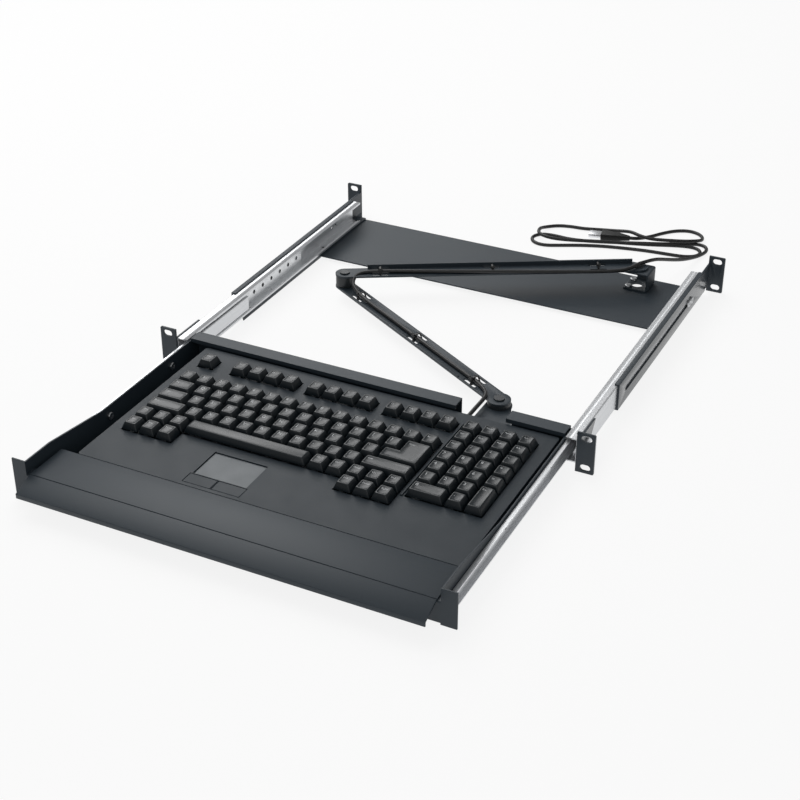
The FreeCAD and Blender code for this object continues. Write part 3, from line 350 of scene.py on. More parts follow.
@dataclass(frozen=True)
class PlatedSteel(Finish):
    """Zinc-plated steel drawn along the slide: long fine streaks, a soft spangle and rolled free edges."""

    level: float = 216.5 * MILLIMETRE
    rolled: float = 206.0 * MILLIMETRE
    roll_depth: float = 5.0 * MILLIMETRE
    dull: Colour = paint(206, 209, 212)
    bright: Colour = paint(245, 246, 248)
    gloss: float = 0.24
    metal: float = 0.72
    streak: Point = (900.0, 7.0, 900.0)
    smear: Point = (30.0, 6.0, 30.0)
    spangle: float = 160.0
    relief: float = 0.008 * MILLIMETRE

    def blend(self, recipe: Recipe) -> bpy.types.Material:
        """Makes the material's nodes."""
        drawn = recipe.noise(recipe.place(self.streak), 1.0, 3.0, 0.6)
        spangle = recipe.cells(recipe.place(), self.spangle)
        smear = recipe.noise(recipe.place(self.smear), 1.0, 3.0)
        across = recipe.parts(recipe.place())[0]
        roll = 1.0 - (across * across).above(self.level ** 2, self.rolled ** 2)
        bead = recipe.bump(roll, self.roll_depth)
        return recipe.finish(
            Base_Color=recipe.mix(drawn * 0.6 + smear * 0.4, self.dull, self.bright),
            Roughness=self.gloss + smear * 0.14 + drawn * 0.08,
            Normal=recipe.bump(drawn * 0.8 + spangle * 0.2, self.relief, bead, 0.5),
            Metallic=self.metal,
        )


@dataclass(frozen=True)
class PiercedSteel(Finish):
    """The ball cages: plated strip pierced with a row of round holes, dark at their rims with painted shade.
    """

    # The dark of the painted shade at the holes, and of the smears.
    dark: Colour = paint(46, 48, 50)
    bright: Colour = paint(240, 242, 244)
    pitch: float = 19.0 * MILLIMETRE
    middle: float = 20.5 * MILLIMETRE
    hole: float = 2.0 * MILLIMETRE
    # The painted shade round a hole reaches out to this many times its radius.
    rim: float = 1.3
    metal: float = 0.85
    smear: float = 160.0
    edge: float = 0.3 * MILLIMETRE
    relief: float = 0.3 * MILLIMETRE

    def blend(self, recipe: Recipe) -> bpy.types.Material:
        """Makes the material's nodes."""
        place = recipe.place()
        _, along, height = recipe.parts(place)
        along = ((along * (1.0 / self.pitch)).fraction() - 0.5) * self.pitch
        height = height - self.middle
        # Painted shade: a dark disc over each hole, wider than the hole, for the shade seen through it.
        hole = 1.0 - (along * along + height * height).above(self.hole ** 2, (self.rim * self.hole) ** 2)
        smear = recipe.noise(place, self.smear, 3.0)
        # Lays the painted shade of the holes on the bright steel.
        base = recipe.mix(hole * 0.85, self.bright, self.dark)
        return recipe.finish(
            Base_Color=recipe.mix(smear * 0.12, base, self.dark),
            Roughness=0.28 + smear * 0.2,
            Normal=recipe.bump(1.0 - hole, self.relief, recipe.rounded(self.edge), 0.6),
            Metallic=self.metal,
        )


@dataclass(frozen=True)
class TurnedSteel(Finish):
    """Bright plated fasteners and balls, with faint turning marks."""

    dull: Colour = paint(150, 152, 154)
    bright: Colour = paint(212, 214, 216)
    gloss: float = 0.2
    mark: float = 2400.0
    cloud: float = 260.0
    edge: float = 0.3 * MILLIMETRE
    relief: float = 0.01 * MILLIMETRE

    def blend(self, recipe: Recipe) -> bpy.types.Material:
        """Makes the material's nodes."""
        place = recipe.place()
        mark = recipe.noise(place, self.mark)
        cloud = recipe.noise(place, self.cloud)
        return recipe.finish(
            Base_Color=recipe.mix(cloud, self.dull, self.bright),
            Roughness=self.gloss + mark * 0.16,
            Normal=recipe.bump(mark, self.relief, recipe.rounded(self.edge), 0.5),
            Metallic=1.0,
        )


@dataclass(frozen=True)
class MouldedPlastic(Finish):
    """Moulded plastic with an eroded matt texture, a little smoother where hands rest."""

    dark: Colour = paint(34, 43, 50)
    light: Colour = paint(42, 51, 58)
    grain: float = 2100.0
    gloss: float = 0.46
    relief: float = 0.045 * MILLIMETRE
    shine: float = 0.27
    cloud: float = 22.0
    polish: float = 45.0
    edge: float = 0.5 * MILLIMETRE

    def blend(self, recipe: Recipe) -> bpy.types.Material:
        """Makes the material's nodes."""
        place = recipe.place()
        grain = recipe.cells(place, self.grain)
        fine = recipe.noise(place, self.grain * 2.0)
        cloud = recipe.noise(place, self.cloud, 3.0)
        polish = recipe.upward() * recipe.noise(place, self.polish)
        round_off = recipe.rounded(self.edge)
        return recipe.finish(
            Base_Color=recipe.mix(cloud * 0.6 + fine * 0.4, self.dark, self.light),
            Roughness=self.gloss + fine * 0.12 - polish * 0.1,
            Normal=recipe.bump(grain * 0.6 + fine * 0.4, self.relief, round_off, 0.7),
            Specular_IOR_Level=self.shine,
        )


@dataclass(frozen=True)
class CableJacket(Finish):
    """Black vinyl cable jacket, slightly glossy, with faint ripples from its making."""

    dark: Colour = paint(16, 17, 18)
    light: Colour = paint(30, 31, 32)
    ripple: float = 420.0
    fine: float = 3000.0
    relief: float = 0.03 * MILLIMETRE

    def blend(self, recipe: Recipe) -> bpy.types.Material:
        """Makes the material's nodes."""
        place = recipe.place()
        ripple = recipe.noise(place, self.ripple)
        fine = recipe.noise(place, self.fine, 1.0)
        return recipe.finish(
            Base_Color=recipe.mix(ripple, self.dark, self.light),
            Roughness=0.34 + ripple * 0.12 + fine * 0.06,
            Normal=recipe.bump(ripple * 0.7 + fine * 0.3, self.relief, None, 0.5),
        )


@dataclass(frozen=True)
class TouchSurface(Finish):
    """The touchpad's hard film: pale grey with a fine even stipple and a smoother middle."""

    dark: Colour = paint(86, 92, 96)
    light: Colour = paint(102, 108, 112)
    stipple: float = 3600.0
    smear: float = 60.0
    edge: float = 0.3 * MILLIMETRE
    relief: float = 0.03 * MILLIMETRE

    def blend(self, recipe: Recipe) -> bpy.types.Material:
        """Makes the material's nodes."""
        place = recipe.place()
        stipple = recipe.cells(place, self.stipple)
        smear = recipe.noise(place, self.smear, 3.0)
        return recipe.finish(
            Base_Color=recipe.mix(smear * 0.7 + stipple * 0.3, self.dark, self.light),
            Roughness=0.5 - smear * 0.14 + stipple * 0.08,
            Normal=recipe.bump(stipple, self.relief, recipe.rounded(self.edge), 0.6),
        )


@dataclass(frozen=True)
class BoardLacquer(Finish):
    """Green lacquer of the controller board."""

    dark: Colour = paint(18, 60, 38)
    light: Colour = paint(30, 92, 58)
    stretch: Point = (1.0, 2.0, 1.0)
    track: float = 240.0
    cloud: float = 90.0
    relief: float = 0.03 * MILLIMETRE

    def blend(self, recipe: Recipe) -> bpy.types.Material:
        """Makes the material's nodes."""
        track = recipe.cells(recipe.place(self.stretch), self.track)
        cloud = recipe.noise(recipe.place(), self.cloud)
        return recipe.finish(
            Base_Color=recipe.mix(track * 0.6 + cloud * 0.4, self.dark, self.light),
            Roughness=0.3 + cloud * 0.2,
            Normal=recipe.bump(track, self.relief, None, 0.4),
        )


@dataclass(frozen=True)
class LegendInk(Finish):
    """Pale ink of the key legends, thinner where fingers have rubbed it."""

    worn: Colour = paint(182, 186, 188)
    fresh: Colour = paint(232, 234, 235)
    rub: float = 900.0

    def blend(self, recipe: Recipe) -> bpy.types.Material:
        """Makes the material's nodes."""
        rub = recipe.noise(recipe.place(), self.rub, 3.0)
        return recipe.finish(Base_Color=recipe.mix(rub, self.worn, self.fresh), Roughness=0.5 + rub * 0.2)


POWDER = PowderCoat("powder_coat")
PIVOT = PowderCoat(
    "pivot_coat", dark=paint(34, 38, 41), light=paint(46, 51, 55), rubbed=paint(128, 130, 132), peel=1900.0,
    gloss=0.34,
)
BRACKET = PowderCoat("bracket_coat", wiped=0.9)
CAGE = PiercedSteel("cage_steel")
OUTER = PlatedSteel("outer_member_steel")
INNER = PlatedSteel("inner_member_steel", level=216.0 * MILLIMETRE, rolled=226.0 * MILLIMETRE)
TURNED = TurnedSteel("turned_steel")
SLEEVE = TurnedSteel("sleeve_steel", dull=paint(214, 216, 220), bright=paint(246, 247, 249), gloss=0.26)
CASE = MouldedPlastic("case_moulding")
CAPS = MouldedPlastic(
    "cap_moulding", dark=paint(17, 25, 30), light=paint(26, 34, 39), grain=2600.0, gloss=0.25,
    relief=0.02 * MILLIMETRE, shine=0.42,
)
RUBBER = MouldedPlastic(
    "rubber_moulding", dark=paint(17, 18, 18), light=paint(27, 28, 28), grain=1700.0, gloss=0.55,
    relief=0.05 * MILLIMETRE, shine=0.5,
)
NYLON = MouldedPlastic(
    "tie_nylon", dark=paint(18, 19, 19), light=paint(28, 29, 30), grain=900.0, gloss=0.36,
    relief=0.02 * MILLIMETRE, shine=0.5,
)
JACKET = CableJacket("cable_jacket")
TOUCH = TouchSurface("touch_surface")
LACQUER = BoardLacquer("board_lacquer")
INK = LegendInk("legend_ink")


class Workshop:
    """Modelling steps as done by hand, with operators."""

    @staticmethod
    def pick(*pieces: bpy.types.Object) -> None:
        """Selects just these pieces, the first one active."""
        bpy.ops.object.select_all(action="DESELECT")
        for piece in pieces:
            piece.select_set(True)
        bpy.context.view_layer.objects.active = pieces[0]

    @staticmethod
    def start(name: str, primitive: Callable, **settings: object) -> bpy.types.Object:
        """Adds a primitive to shape.

        Args:
            name: the piece's name.
            primitive: the operator that adds it.
            settings: its size and place.

        Returns:
            The new piece, with its place in its mesh.
        """
        bpy.ops.object.select_all(action="DESELECT")
        primitive(**settings)
        piece = bpy.context.active_object
        piece.name = name
        piece.data.name = name
        Workshop.settle(piece)
        return piece

    @staticmethod
    def settle(piece: bpy.types.Object) -> None:
        """Puts a piece's place, turn and size into its mesh."""
        Workshop.pick(piece)
        bpy.ops.object.transform_apply(location=True, rotation=True, scale=True)

    @staticmethod
    @contextmanager
    def editing(piece: bpy.types.Object) -> Iterator[None]:
        """Edit mode on one piece, with nothing selected at its start."""
        Workshop.pick(piece)
        bpy.ops.object.mode_set(mode="EDIT")
        bpy.ops.mesh.select_all(action="DESELECT")
        yield
        bpy.ops.object.mode_set(mode="OBJECT")

    @staticmethod
    def select(piece: bpy.types.Object, kind: Element, test: Callable[[Vector, Vector], bool]) -> None:
        """Selects parts of a piece in edit mode.

        Args:
            piece: the piece in edit mode.
            kind: vertices or faces.
            test: told the part's place and its normal.
        """
        bpy.ops.mesh.select_mode(type=kind.value)
        bpy.ops.mesh.select_all(action="DESELECT")
        mesh = bmesh.from_edit_mesh(piece.data)
        if kind is Element.FACE:
            for face in mesh.faces:
                face.select_set(test(face.calc_center_median(), face.normal))
        else:
            for vertex in mesh.verts:
                vertex.select_set(test(vertex.co, vertex.normal))
        mesh.select_flush_mode()
        bmesh.update_edit_mesh(piece.data)

    @staticmethod
    def modify(piece: bpy.types.Object, kind: str, **settings: object) -> None:
        """Adds a modifier and applies it."""
        Workshop.pick(piece)
        modifier = piece.modifiers.new(kind.lower(), kind)
        for name, value in settings.items():
            setattr(modifier, name, value)
        bpy.ops.object.modifier_apply(modifier=modifier.name)

    @staticmethod
    def ease(piece: bpy.types.Object, width: float, segments: int = 2, angle: float = 30.0) -> None:
        """Rounds a piece's sharp edges and smooths its shading."""
        limit = math.radians(angle)
        Workshop.modify(
            piece, "BEVEL", width=width, segments=segments, limit_method="ANGLE", angle_limit=limit,
            use_clamp_overlap=True, miter_outer="MITER_ARC",
        )
        bpy.ops.object.shade_smooth_by_angle(angle=SMOOTH_LIMIT)

    @staticmethod
    def copy_of(piece: bpy.types.Object, name: str, place: Matrix) -> bpy.types.Object:
        """A copy with its own mesh, moved by a matrix."""
        mesh = piece.data.copy()
        mesh.transform(place)
        made = bpy.data.objects.new(name, mesh)
        bpy.context.scene.collection.objects.link(made)
        return made

    @staticmethod
    def of_node(node: str, name: str) -> bpy.types.Object:
        """A merged copy of a CAD node, free to be shaped."""
        made = Workshop.copy_of(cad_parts[node], name, Matrix.Identity(4))
        with Workshop.editing(made):
            bpy.ops.mesh.select_all(action="SELECT")
            bpy.ops.mesh.remove_doubles(threshold=MERGE_GAP)
            bpy.ops.mesh.dissolve_limited(angle_limit=math.radians(0.5))
        return made

    @staticmethod
    def join(pieces: Sequence[bpy.types.Object], name: str) -> bpy.types.Object:
        """Joins pieces into one."""
        Workshop.pick(*pieces)
        if len(pieces) > 1:
            bpy.ops.object.join()
        pieces[0].name = name
        pieces[0].data.name = name
        return pieces[0]

    @staticmethod
    def drop(*pieces: bpy.types.Object) -> None:
        """Removes patterns that are no longer needed."""
        for piece in pieces:
            bpy.data.objects.remove(piece)

    @staticmethod
    def dress(piece: bpy.types.Object, finish: Finish) -> None:
        """Gives a piece one finish all over."""
        piece.data.materials.clear()
        piece.data.materials.append(finish.material())

    @staticmethod
    def mount(piece: bpy.types.Object, body: str, finish: Finish, slot: Slot, *nodes: str) -> None:
        """Dresses a piece, sets it on its body and lets it stand for CAD nodes."""
        Workshop.dress(piece, finish)
        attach(piece, body)
        if nodes:
            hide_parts(*nodes)
        log.info("%s rides %s, %d faces", piece.name, body, len(piece.data.polygons))


def looks_up(place: Vector, normal: Vector) -> bool:
    """Whether a face looks up."""
    return normal.z > SQUARE_ON


def dress_nodes(finish: Finish, *nodes: str) -> None:
    """Gives CAD nodes that stay in view their finish."""
    for node in nodes:
        Workshop.dress(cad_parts[node], finish)
        log.info("%s keeps its solid, in %s", node, finish.name)


@dataclass
class PanScrew:
    """A pan-head screw with a cross recess, and every place where one sits."""

    head_radius: float = 4.0 * MILLIMETRE
    head_height: float = 2.2 * MILLIMETRE
    slot_length: float = 4.6 * MILLIMETRE
    slot_width: float = 1.1 * MILLIMETRE
    slot_depth: float = 1.2 * MILLIMETRE
    slot_taper: float = 0.6
    dome: float = 0.9 * MILLIMETRE
    sides: int = 28
    smooth: float = 32.0
    near: float = 0.05 * MILLIMETRE

    def pattern(self) -> bpy.types.Object:
        """The screw's head, standing up on the origin."""
        head = Workshop.start(
            "screw_head", bpy.ops.mesh.primitive_cylinder_add, vertices=self.sides, radius=self.head_radius,
            depth=self.head_height, location=(0, 0, self.head_height / 2),
        )
        with Workshop.editing(head):
            Workshop.select(head, Element.FACE, looks_up)
            bpy.ops.mesh.bevel(offset=self.dome, segments=4, affect="EDGES")
        for turn in (0.0, math.pi / 2):
            cutter = Workshop.start(
                "recess", bpy.ops.mesh.primitive_cube_add, size=1.0,
                location=(0, 0, self.head_height), rotation=(0, 0, turn),
                scale=(self.slot_length, self.slot_width, 2 * self.slot_depth),
            )
            with Workshop.editing(cutter):
                Workshop.select(cutter, Element.FACE, lambda place, normal: normal.z < -SQUARE_ON)
                bpy.ops.transform.resize(value=(self.slot_taper, self.slot_taper, 1.0))
            Workshop.modify(head, "BOOLEAN", operation="DIFFERENCE", object=cutter, solver="EXACT")
            Workshop.drop(cutter)
        Workshop.pick(head)
        bpy.ops.object.shade_smooth_by_angle(angle=math.radians(self.smooth))
        return head

    def places(self, node: str) -> list[Matrix]:
        """Where each screw of a CAD node sits.

        Args:
            node: a CAD node of screws.

        Returns:
            One matrix for each screw, from the pattern to its place and size.
        """
        mesh = bmesh.new()
        mesh.from_mesh(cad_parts[node].data)
        bmesh.ops.remove_doubles(mesh, verts=mesh.verts, dist=MERGE_GAP)
        waiting = set(mesh.verts)
        found = []
        while waiting:
            island = [waiting.pop()]
            for vertex in island:
                for edge in vertex.link_edges:
                    other = edge.other_vert(vertex)
                    if other in waiting:
                        waiting.remove(other)
                        island.append(other)
            found.append(self.fit([vertex.co.copy() for vertex in island]))
        mesh.free()
        return found

    def fit(self, points: Sequence[Vector]) -> Matrix:
        """The pattern's matrix for one screw, from the points of its solid."""
        low = Vector([min(point[axis] for point in points) for axis in range(3)])
        high = Vector([max(point[axis] for point in points) for axis in range(3)])
        size = high - low
        middle = (low + high) / 2
        odd = [abs(size[(axis + 1) % 3] - size[(axis + 2) % 3]) for axis in range(3)]
        axis = odd.index(min(odd))
        width = size[(axis + 1) % 3] / 2
        reach = {}
        for end in (-1, 1):
            face = low[axis] if end < 0 else high[axis]
            flat = [point.copy() for point in points if abs(point[axis] - face) < self.near]
            for point in flat:
                point[axis] = middle[axis]
            reach[end] = max((point - middle).length for point in flat)
        end = 1 if reach[1] > reach[-1] else -1
        outward = Vector.Fill(3, 0.0)
        outward[axis] = end
        scale = width / self.head_radius
        place = middle.copy()
        place[axis] = (high[axis] if end > 0 else low[axis]) - end * self.head_height * scale
        turn = Vector((0, 0, 1)).rotation_difference(outward).to_matrix().to_4x4()
        return Matrix.Translation(place) @ turn @ Matrix.Scale(scale, 4)

    def build(self) -> None:
        """Sets the screws of the brackets, the tray and the keyboard."""
        pattern = self.pattern()
        for node, body in (("rack_screws", "rack"), ("tray_screws", "tray"), ("case_screws", "tray")):
            heads = [Workshop.copy_of(pattern, f"{node}_head", place) for place in self.places(node)]
            Workshop.mount(Workshop.join(heads, f"{node}_heads"), body, TURNED, Slot.BRIGHT_STEEL, node)
        Workshop.drop(pattern)


@dataclass
class RackFrame:
    """The brackets, ball slides and rear plate, which stay with the rack."""

    web: float = WEB_SIDE
    slide_top: float = 33.5 * MILLIMETRE
    slide_bottom: float = 7.5 * MILLIMETRE
    cover: float = 3.4 * MILLIMETRE
    cover_sheet: float = 1.3 * MILLIMETRE
    cover_end: float = 326.0 * MILLIMETRE
    shelf_reach: float = 11.0 * MILLIMETRE
    hem: float = 1.0 * MILLIMETRE
    hem_drop: float = 2.4 * MILLIMETRE
    near: float = 0.2 * MILLIMETRE
    stop_start: float = 147.0 * MILLIMETRE
    stop_sheet: float = 1.3 * MILLIMETRE
    stop_height: float = 5.0 * MILLIMETRE
    stop_fold: float = 0.25 * MILLIMETRE
    fold: float = 0.3 * MILLIMETRE
    punch_sides: int = 20
    punch_length: float = 2.2 * WEB_SIDE

    def arm_bracket(self) -> None:
        """The bracket of the arm's rear pivot, with a low edge turned up behind its foot."""
        bracket = Workshop.of_node("arm_bracket", "arm_bracket_folded")
        _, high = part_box("arm_bracket")
        line = high.y - self.stop_sheet
        with Workshop.editing(bracket):
            self.score((0.0, line, 0.0), (0.0, 1.0, 0.0))
            self.score((self.stop_start, 0.0, 0.0), (1.0, 0.0, 0.0))
            Workshop.select(
                bracket, Element.FACE,
                lambda place, normal: looks_up(place, normal) and place.y > line and place.x > self.stop_start
                and abs(place.z - self.slide_bottom) < self.near,
            )
            self.extrude(0.0, self.stop_height)
        Workshop.ease(bracket, self.stop_fold)
        Workshop.mount(bracket, "rack", POWDER, Slot.BLACK_PAINT, "arm_bracket")

    def rear_bracket(self, node: str, side: int) -> None:
        """A rear bracket, folded over the slide's top edge and hemmed below it.

        Args:
            node: the bracket's CAD node.
            side: -1 on the left, 1 on the right.
        """
        bracket = Workshop.of_node(node, f"{node}_folded")
        edge = self.web - self.shelf_reach
        with Workshop.editing(bracket):
            Workshop.select(
                bracket, Element.FACE,
                lambda place, normal: looks_up(place, normal) and abs(place.z - self.slide_top) < self.near,
            )
            self.extrude(0.0, self.cover_sheet)
            self.score((0.0, self.cover_end, 0.0), (0.0, 1.0, 0.0))
            Workshop.select(
                bracket, Element.FACE,
                lambda place, normal: normal.x * side < -SQUARE_ON and self.beside(place, self.web)
                and self.slide_top < place.z < self.slide_top + self.cover_sheet and place.y < self.cover_end,
            )
            self.extrude(-side * self.cover, 0.0)
            Workshop.select(
                bracket, Element.FACE,
                lambda place, normal: normal.x * side < -SQUARE_ON and self.beside(place, edge)
                and place.z < self.slide_bottom,
            )
            self.extrude(-side * self.hem, 0.0)
            Workshop.select(
                bracket, Element.FACE,
                lambda place, normal: normal.z < -SQUARE_ON and self.beside(place, edge - self.hem / 2),
            )
            self.extrude(0.0, -self.hem_drop)
        Workshop.ease(bracket, self.fold)
        Workshop.mount(bracket, "rack", BRACKET, Slot.BLACK_PAINT, node)

    def beside(self, place: Vector, distance: float) -> bool:
        """Whether a place lies so far from the middle, to the left or right."""
        return abs(abs(place.x) - distance) < self.near

    @staticmethod
    def score(place: Point, normal: Point) -> None:
        """Cuts new edges all round where a plane crosses the sheet."""
        bpy.ops.mesh.select_all(action="SELECT")
        bpy.ops.mesh.bisect(plane_co=place, plane_no=normal)

    @staticmethod
    def extrude(across: float, up: float) -> None:
        """Draws the selected faces out, across the drawer or upwards."""
        bpy.ops.mesh.extrude_region_move(TRANSFORM_OT_translate={"value": (across, 0.0, up)})

    def cages(self) -> None:
        """The ball cages, their strips pierced by a row of round holes."""
        cages = Workshop.of_node("ball_cages", "pierced_cages")
        low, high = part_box("ball_cages")
        first = math.ceil((low.y + 2 * CAGE.hole) / CAGE.pitch - 0.5)
        last = math.floor((high.y - 2 * CAGE.hole) / CAGE.pitch - 0.5)
        punches = [
            Workshop.start(
                "punch", bpy.ops.mesh.primitive_cylinder_add, vertices=self.punch_sides, radius=CAGE.hole,
                depth=self.punch_length, location=(0.0, (index + 0.5) * CAGE.pitch, CAGE.middle),
                rotation=(0.0, math.pi / 2, 0.0),
            )
            for index in range(first, last + 1)
        ]
        punch = Workshop.join(punches, "punch")
        Workshop.modify(cages, "BOOLEAN", operation="DIFFERENCE", object=punch, solver="EXACT")
        Workshop.drop(punch)
        Workshop.mount(cages, "cages", CAGE, Slot.BRIGHT_STEEL, "ball_cages")

    def build(self) -> None:
        """Folds the rear brackets, pierces the cages and dresses the sheet metal and the slides."""
        self.rear_bracket("rear_bracket_left", -1)
        self.rear_bracket("rear_bracket_right", 1)
        self.cages()
        dress_nodes(BRACKET, "front_bracket_left", "front_bracket_right")
        self.arm_bracket()
        dress_nodes(POWDER, "rear_plate")
        dress_nodes(OUTER, "slide_outer_left", "slide_outer_right")
        dress_nodes(INNER, "slide_inner_left", "slide_inner_right")


@dataclass
class DrawerTray:
    """The folded tray with its palm ledge."""

    fold: float = 0.3 * MILLIMETRE

    def build(self) -> None:
        """Rounds the folds of the ledge and dresses the sheet metal."""
        ledge = Workshop.of_node("palm_ledge", "palm_ledge_folded")
        Workshop.ease(ledge, self.fold)
        Workshop.mount(ledge, "tray", POWDER, Slot.BLACK_PAINT, "palm_ledge")
        dress_nodes(POWDER, "tray")


@dataclass
class KeyboardCase:
    """The keyboard's case with the touchpad and what it holds inside."""

    def build(self) -> None:
        """Dresses the case, the touchpad and the inner pieces."""
        dress_nodes(CASE, "keyboard_base", "keyboard_top", "touchpad_button_left", "touchpad_button_right")
        dress_nodes(TOUCH, "touchpad")
        dress_nodes(RUBBER, "switch_sheet", "cable_grommet")
        dress_nodes(LACQUER, "circuit_board")


@dataclass(frozen=True)
class Key:
    """One key: its left column and row in key units, its size, its block and its legend."""

    column: float
    row: float
    legend: str = ""
    width: float = 1.0
    depth: float = 1.0
    on_pad: bool = False


def run(column: float, row: float, legends: Sequence[str], on_pad: bool = False) -> list[Key]:
    """Single keys side by side, one for each legend."""
    return [Key(column + index, row, legend, on_pad=on_pad) for index, legend in enumerate(legends)]


@dataclass
class KeyField:
    """Every key cap, with a dished top and a plain legend."""

    pitch: float = 19.05 * MILLIMETRE
    gap: float = 1.05 * MILLIMETRE
    inset_x: float = 3.3 * MILLIMETRE
    inset_y: float = 2.2 * MILLIMETRE
    dish: float = 1.1 * MILLIMETRE
    sink: float = 0.8 * MILLIMETRE
    edge: float = 1.0 * MILLIMETRE
    bar_edge: float = 2.0 * MILLIMETRE
    bar_width: float = 7.0
    edge_steps: int = 3
    edge_angle: float = 25.0
    rings: int = 5
    ring: float = 1.05 * MILLIMETRE
    letter: float = 5.4 * MILLIMETRE
    word: float = 3.0 * MILLIMETRE
    letter_drop: float = 0.75
    ink_lift: float = 0.05 * MILLIMETRE
    escape_row: int = 7
    enter: Key = Key(13.5, 4, "Enter", 1.5)
    patterns: dict[tuple[float, float], bpy.types.Object] = field(default_factory=dict)
    skirt: float = field(init=False)
    top: float = field(init=False)
    left: float = field(init=False)
    front: float = field(init=False)
    pad_left: float = field(init=False)

    def __post_init__(self) -> None:
        """Reads the caps' heights and the two blocks' corners from the frame."""
        low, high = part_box("key_escape")
        deck = max(vertex.co.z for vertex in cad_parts["keyboard_top"].data.vertices)
        self.skirt = deck - self.sink
        self.top = high.z
        self.left = low.x - self.gap / 2
        self.front = low.y - self.gap / 2 - self.escape_row * self.pitch
        self.pad_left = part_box("key_pad_zero")[0].x - self.gap / 2

    def layout(self) -> dict[str, list[Key]]:
        """The keys of each CAD node, rows counted from the front."""
        pad = [
            ("Ins", "Home", "PgUp", "Scr"), ("Del", "End", "PgDn", "Brk"), ("Num", "/", "*", "-"),
            ("7", "8", "9", "+"), ("4", "5", "6", "="),
        ]
        pad_keys = [key for row, names in zip(range(7, 2, -1), pad) for key in run(0, row, names, True)]
        return {
            "key_escape": run(0, 7, ["Esc"]),
            "keys_function": run(2, 7, ["F1", "F2", "F3", "F4"]) + run(6.5, 7, ["F5", "F6", "F7", "F8"])
            + run(11, 7, ["F9", "F10", "F11", "F12"]),
            "keys_number_row": run(0, 5, list("`1234567890-=\\") + ["Bk"]),
            "key_tab": [Key(0, 4, "Tab", 1.5)],
            "keys_upper_row": run(1.5, 4, list("QWERTYUIOP[]")),
            "key_caps_lock": [Key(0, 3, "Caps", 1.75)],
            "keys_home_row": run(1.75, 3, list("ASDFGHJKL;'")),
            "key_shift_left": [Key(0, 2, "Shift", 2.25)],
            "keys_lower_row": run(2.25, 2, list("ZXCVBNM,./")),
            "key_shift_right": [Key(12.25, 2, "Shift", 2.75)],
            "keys_modifier": run(0, 1, ["Ctrl", "Fn", "Alt"]) + run(0, 0, ["Ins", "Del", "Menu"]),
            "key_space": [Key(3, 1, "", self.bar_width)],
            "keys_bottom_right": run(10, 1, ["Alt", "Ctrl", "Home", "Up", "End"]),
            "keys_arrow": run(12, 0, ["Left", "Down", "Right"]),
            "keys_pad": pad_keys + run(0, 2, ["1", "2", "3"], True),
            "key_pad_enter": [Key(3, 1, "Ent", 1.0, 2.0, True)],
            "key_pad_zero": [Key(0, 1, "0", 2.0, 1.0, True)],
            "key_pad_point": [Key(2, 1, ".", on_pad=True)],
        }

    def corner(self, key: Key) -> Vector:
        """The front left corner of a key's cell."""
        left = self.pad_left if key.on_pad else self.left
        return Vector((left + key.column * self.pitch, self.front + key.row * self.pitch, 0.0))

    def dip(self, ring: int) -> float:
        """How far the dished top lies below its rim, after so many rings."""
        return self.dish * (1.0 - (1.0 - ring / self.rings) ** 2)

    def cap(self, width: float, depth: float) -> bpy.types.Object:
        """A cap of a size in key units: a tapered block with a dished top and soft edges.

        Args:
            width, depth: the size in key units.

        Returns:
            The cap's pattern, its cell's corner at the origin.
        """
        size = (width, depth)
        if size in self.patterns:
            return self.patterns[size]
        across = width * self.pitch - self.gap
        deep = depth * self.pitch - self.gap
        height = self.top - self.skirt
        middle = Vector((width * self.pitch / 2, depth * self.pitch / 2, self.skirt + height / 2))
        cap = Workshop.start(
            "cap", bpy.ops.mesh.primitive_cube_add, size=1.0, location=middle, scale=(across, deep, height)
        )
        with Workshop.editing(cap):
            Workshop.select(cap, Element.FACE, looks_up)
            taper = (1 - 2 * self.inset_x / across, 1 - 2 * self.inset_y / deep, 1.0)
            bpy.ops.transform.resize(value=taper)
            if width < self.bar_width:
                self.hollow()
        edge = self.edge if width < self.bar_width else self.bar_edge
        Workshop.ease(cap, edge, self.edge_steps, self.edge_angle)
        self.patterns[size] = cap
        return cap

    def hollow(self) -> None:
        """Sinks the selected top into a shallow bowl, ring by ring."""
        for ring in range(self.rings):
            bpy.ops.mesh.inset(thickness=self.ring, depth=self.dip(ring) - self.dip(ring + 1))

    def legend(self, key: Key) -> bpy.types.Object:
        """A key's legend, lying on the left rear of its top."""
        corner = self.corner(key)
        bpy.ops.object.select_all(action="DESELECT")
        bpy.ops.object.text_add(location=(0, 0, 0))
        text = bpy.context.active_object
        text.data.body = key.legend
        text.data.size = self.letter if len(key.legend) == 1 else self.word
        text.data.align_x = "LEFT"
        text.data.align_y = "CENTER"
        text.data.resolution_u = 2
        bpy.ops.object.convert(target="MESH")
        text = bpy.context.active_object
        x = corner.x + self.gap / 2 + self.inset_x + 2 * self.edge
        y = corner.y + key.depth * self.pitch - self.inset_y - self.gap / 2 - self.letter * self.letter_drop
        text.location = (x, y, self.top + self.edge)
        Workshop.settle(text)
        return text

    def lay_ink(self, letters: list[bpy.types.Object], caps: bpy.types.Object, node: str) -> None:
        """Lays the legends of one node on its caps."""
        ink = Workshop.join(letters, f"{node}_legends")
        Workshop.modify(
            ink, "SHRINKWRAP", target=caps, wrap_method="PROJECT", use_project_z=True,
            use_negative_direction=True, use_positive_direction=False, offset=self.ink_lift,
        )
        Workshop.mount(ink, node, INK, Slot.KEY_PLASTIC)

    def enter_cap(self) -> None:
        """Makes the enter key's cap and legend from its solid."""
        cap = Workshop.of_node("key_enter", "key_enter_cap")
        rim = self.top - self.edge
        with Workshop.editing(cap):
            Workshop.select(
                cap, Element.FACE, lambda place, normal: looks_up(place, normal) and place.z > rim
            )
            self.hollow()
        Workshop.ease(cap, self.edge, self.edge_steps, self.edge_angle)
        Workshop.mount(cap, "key_enter", CAPS, Slot.KEY_PLASTIC, "key_enter")
        self.lay_ink([self.legend(self.enter)], cap, "key_enter")

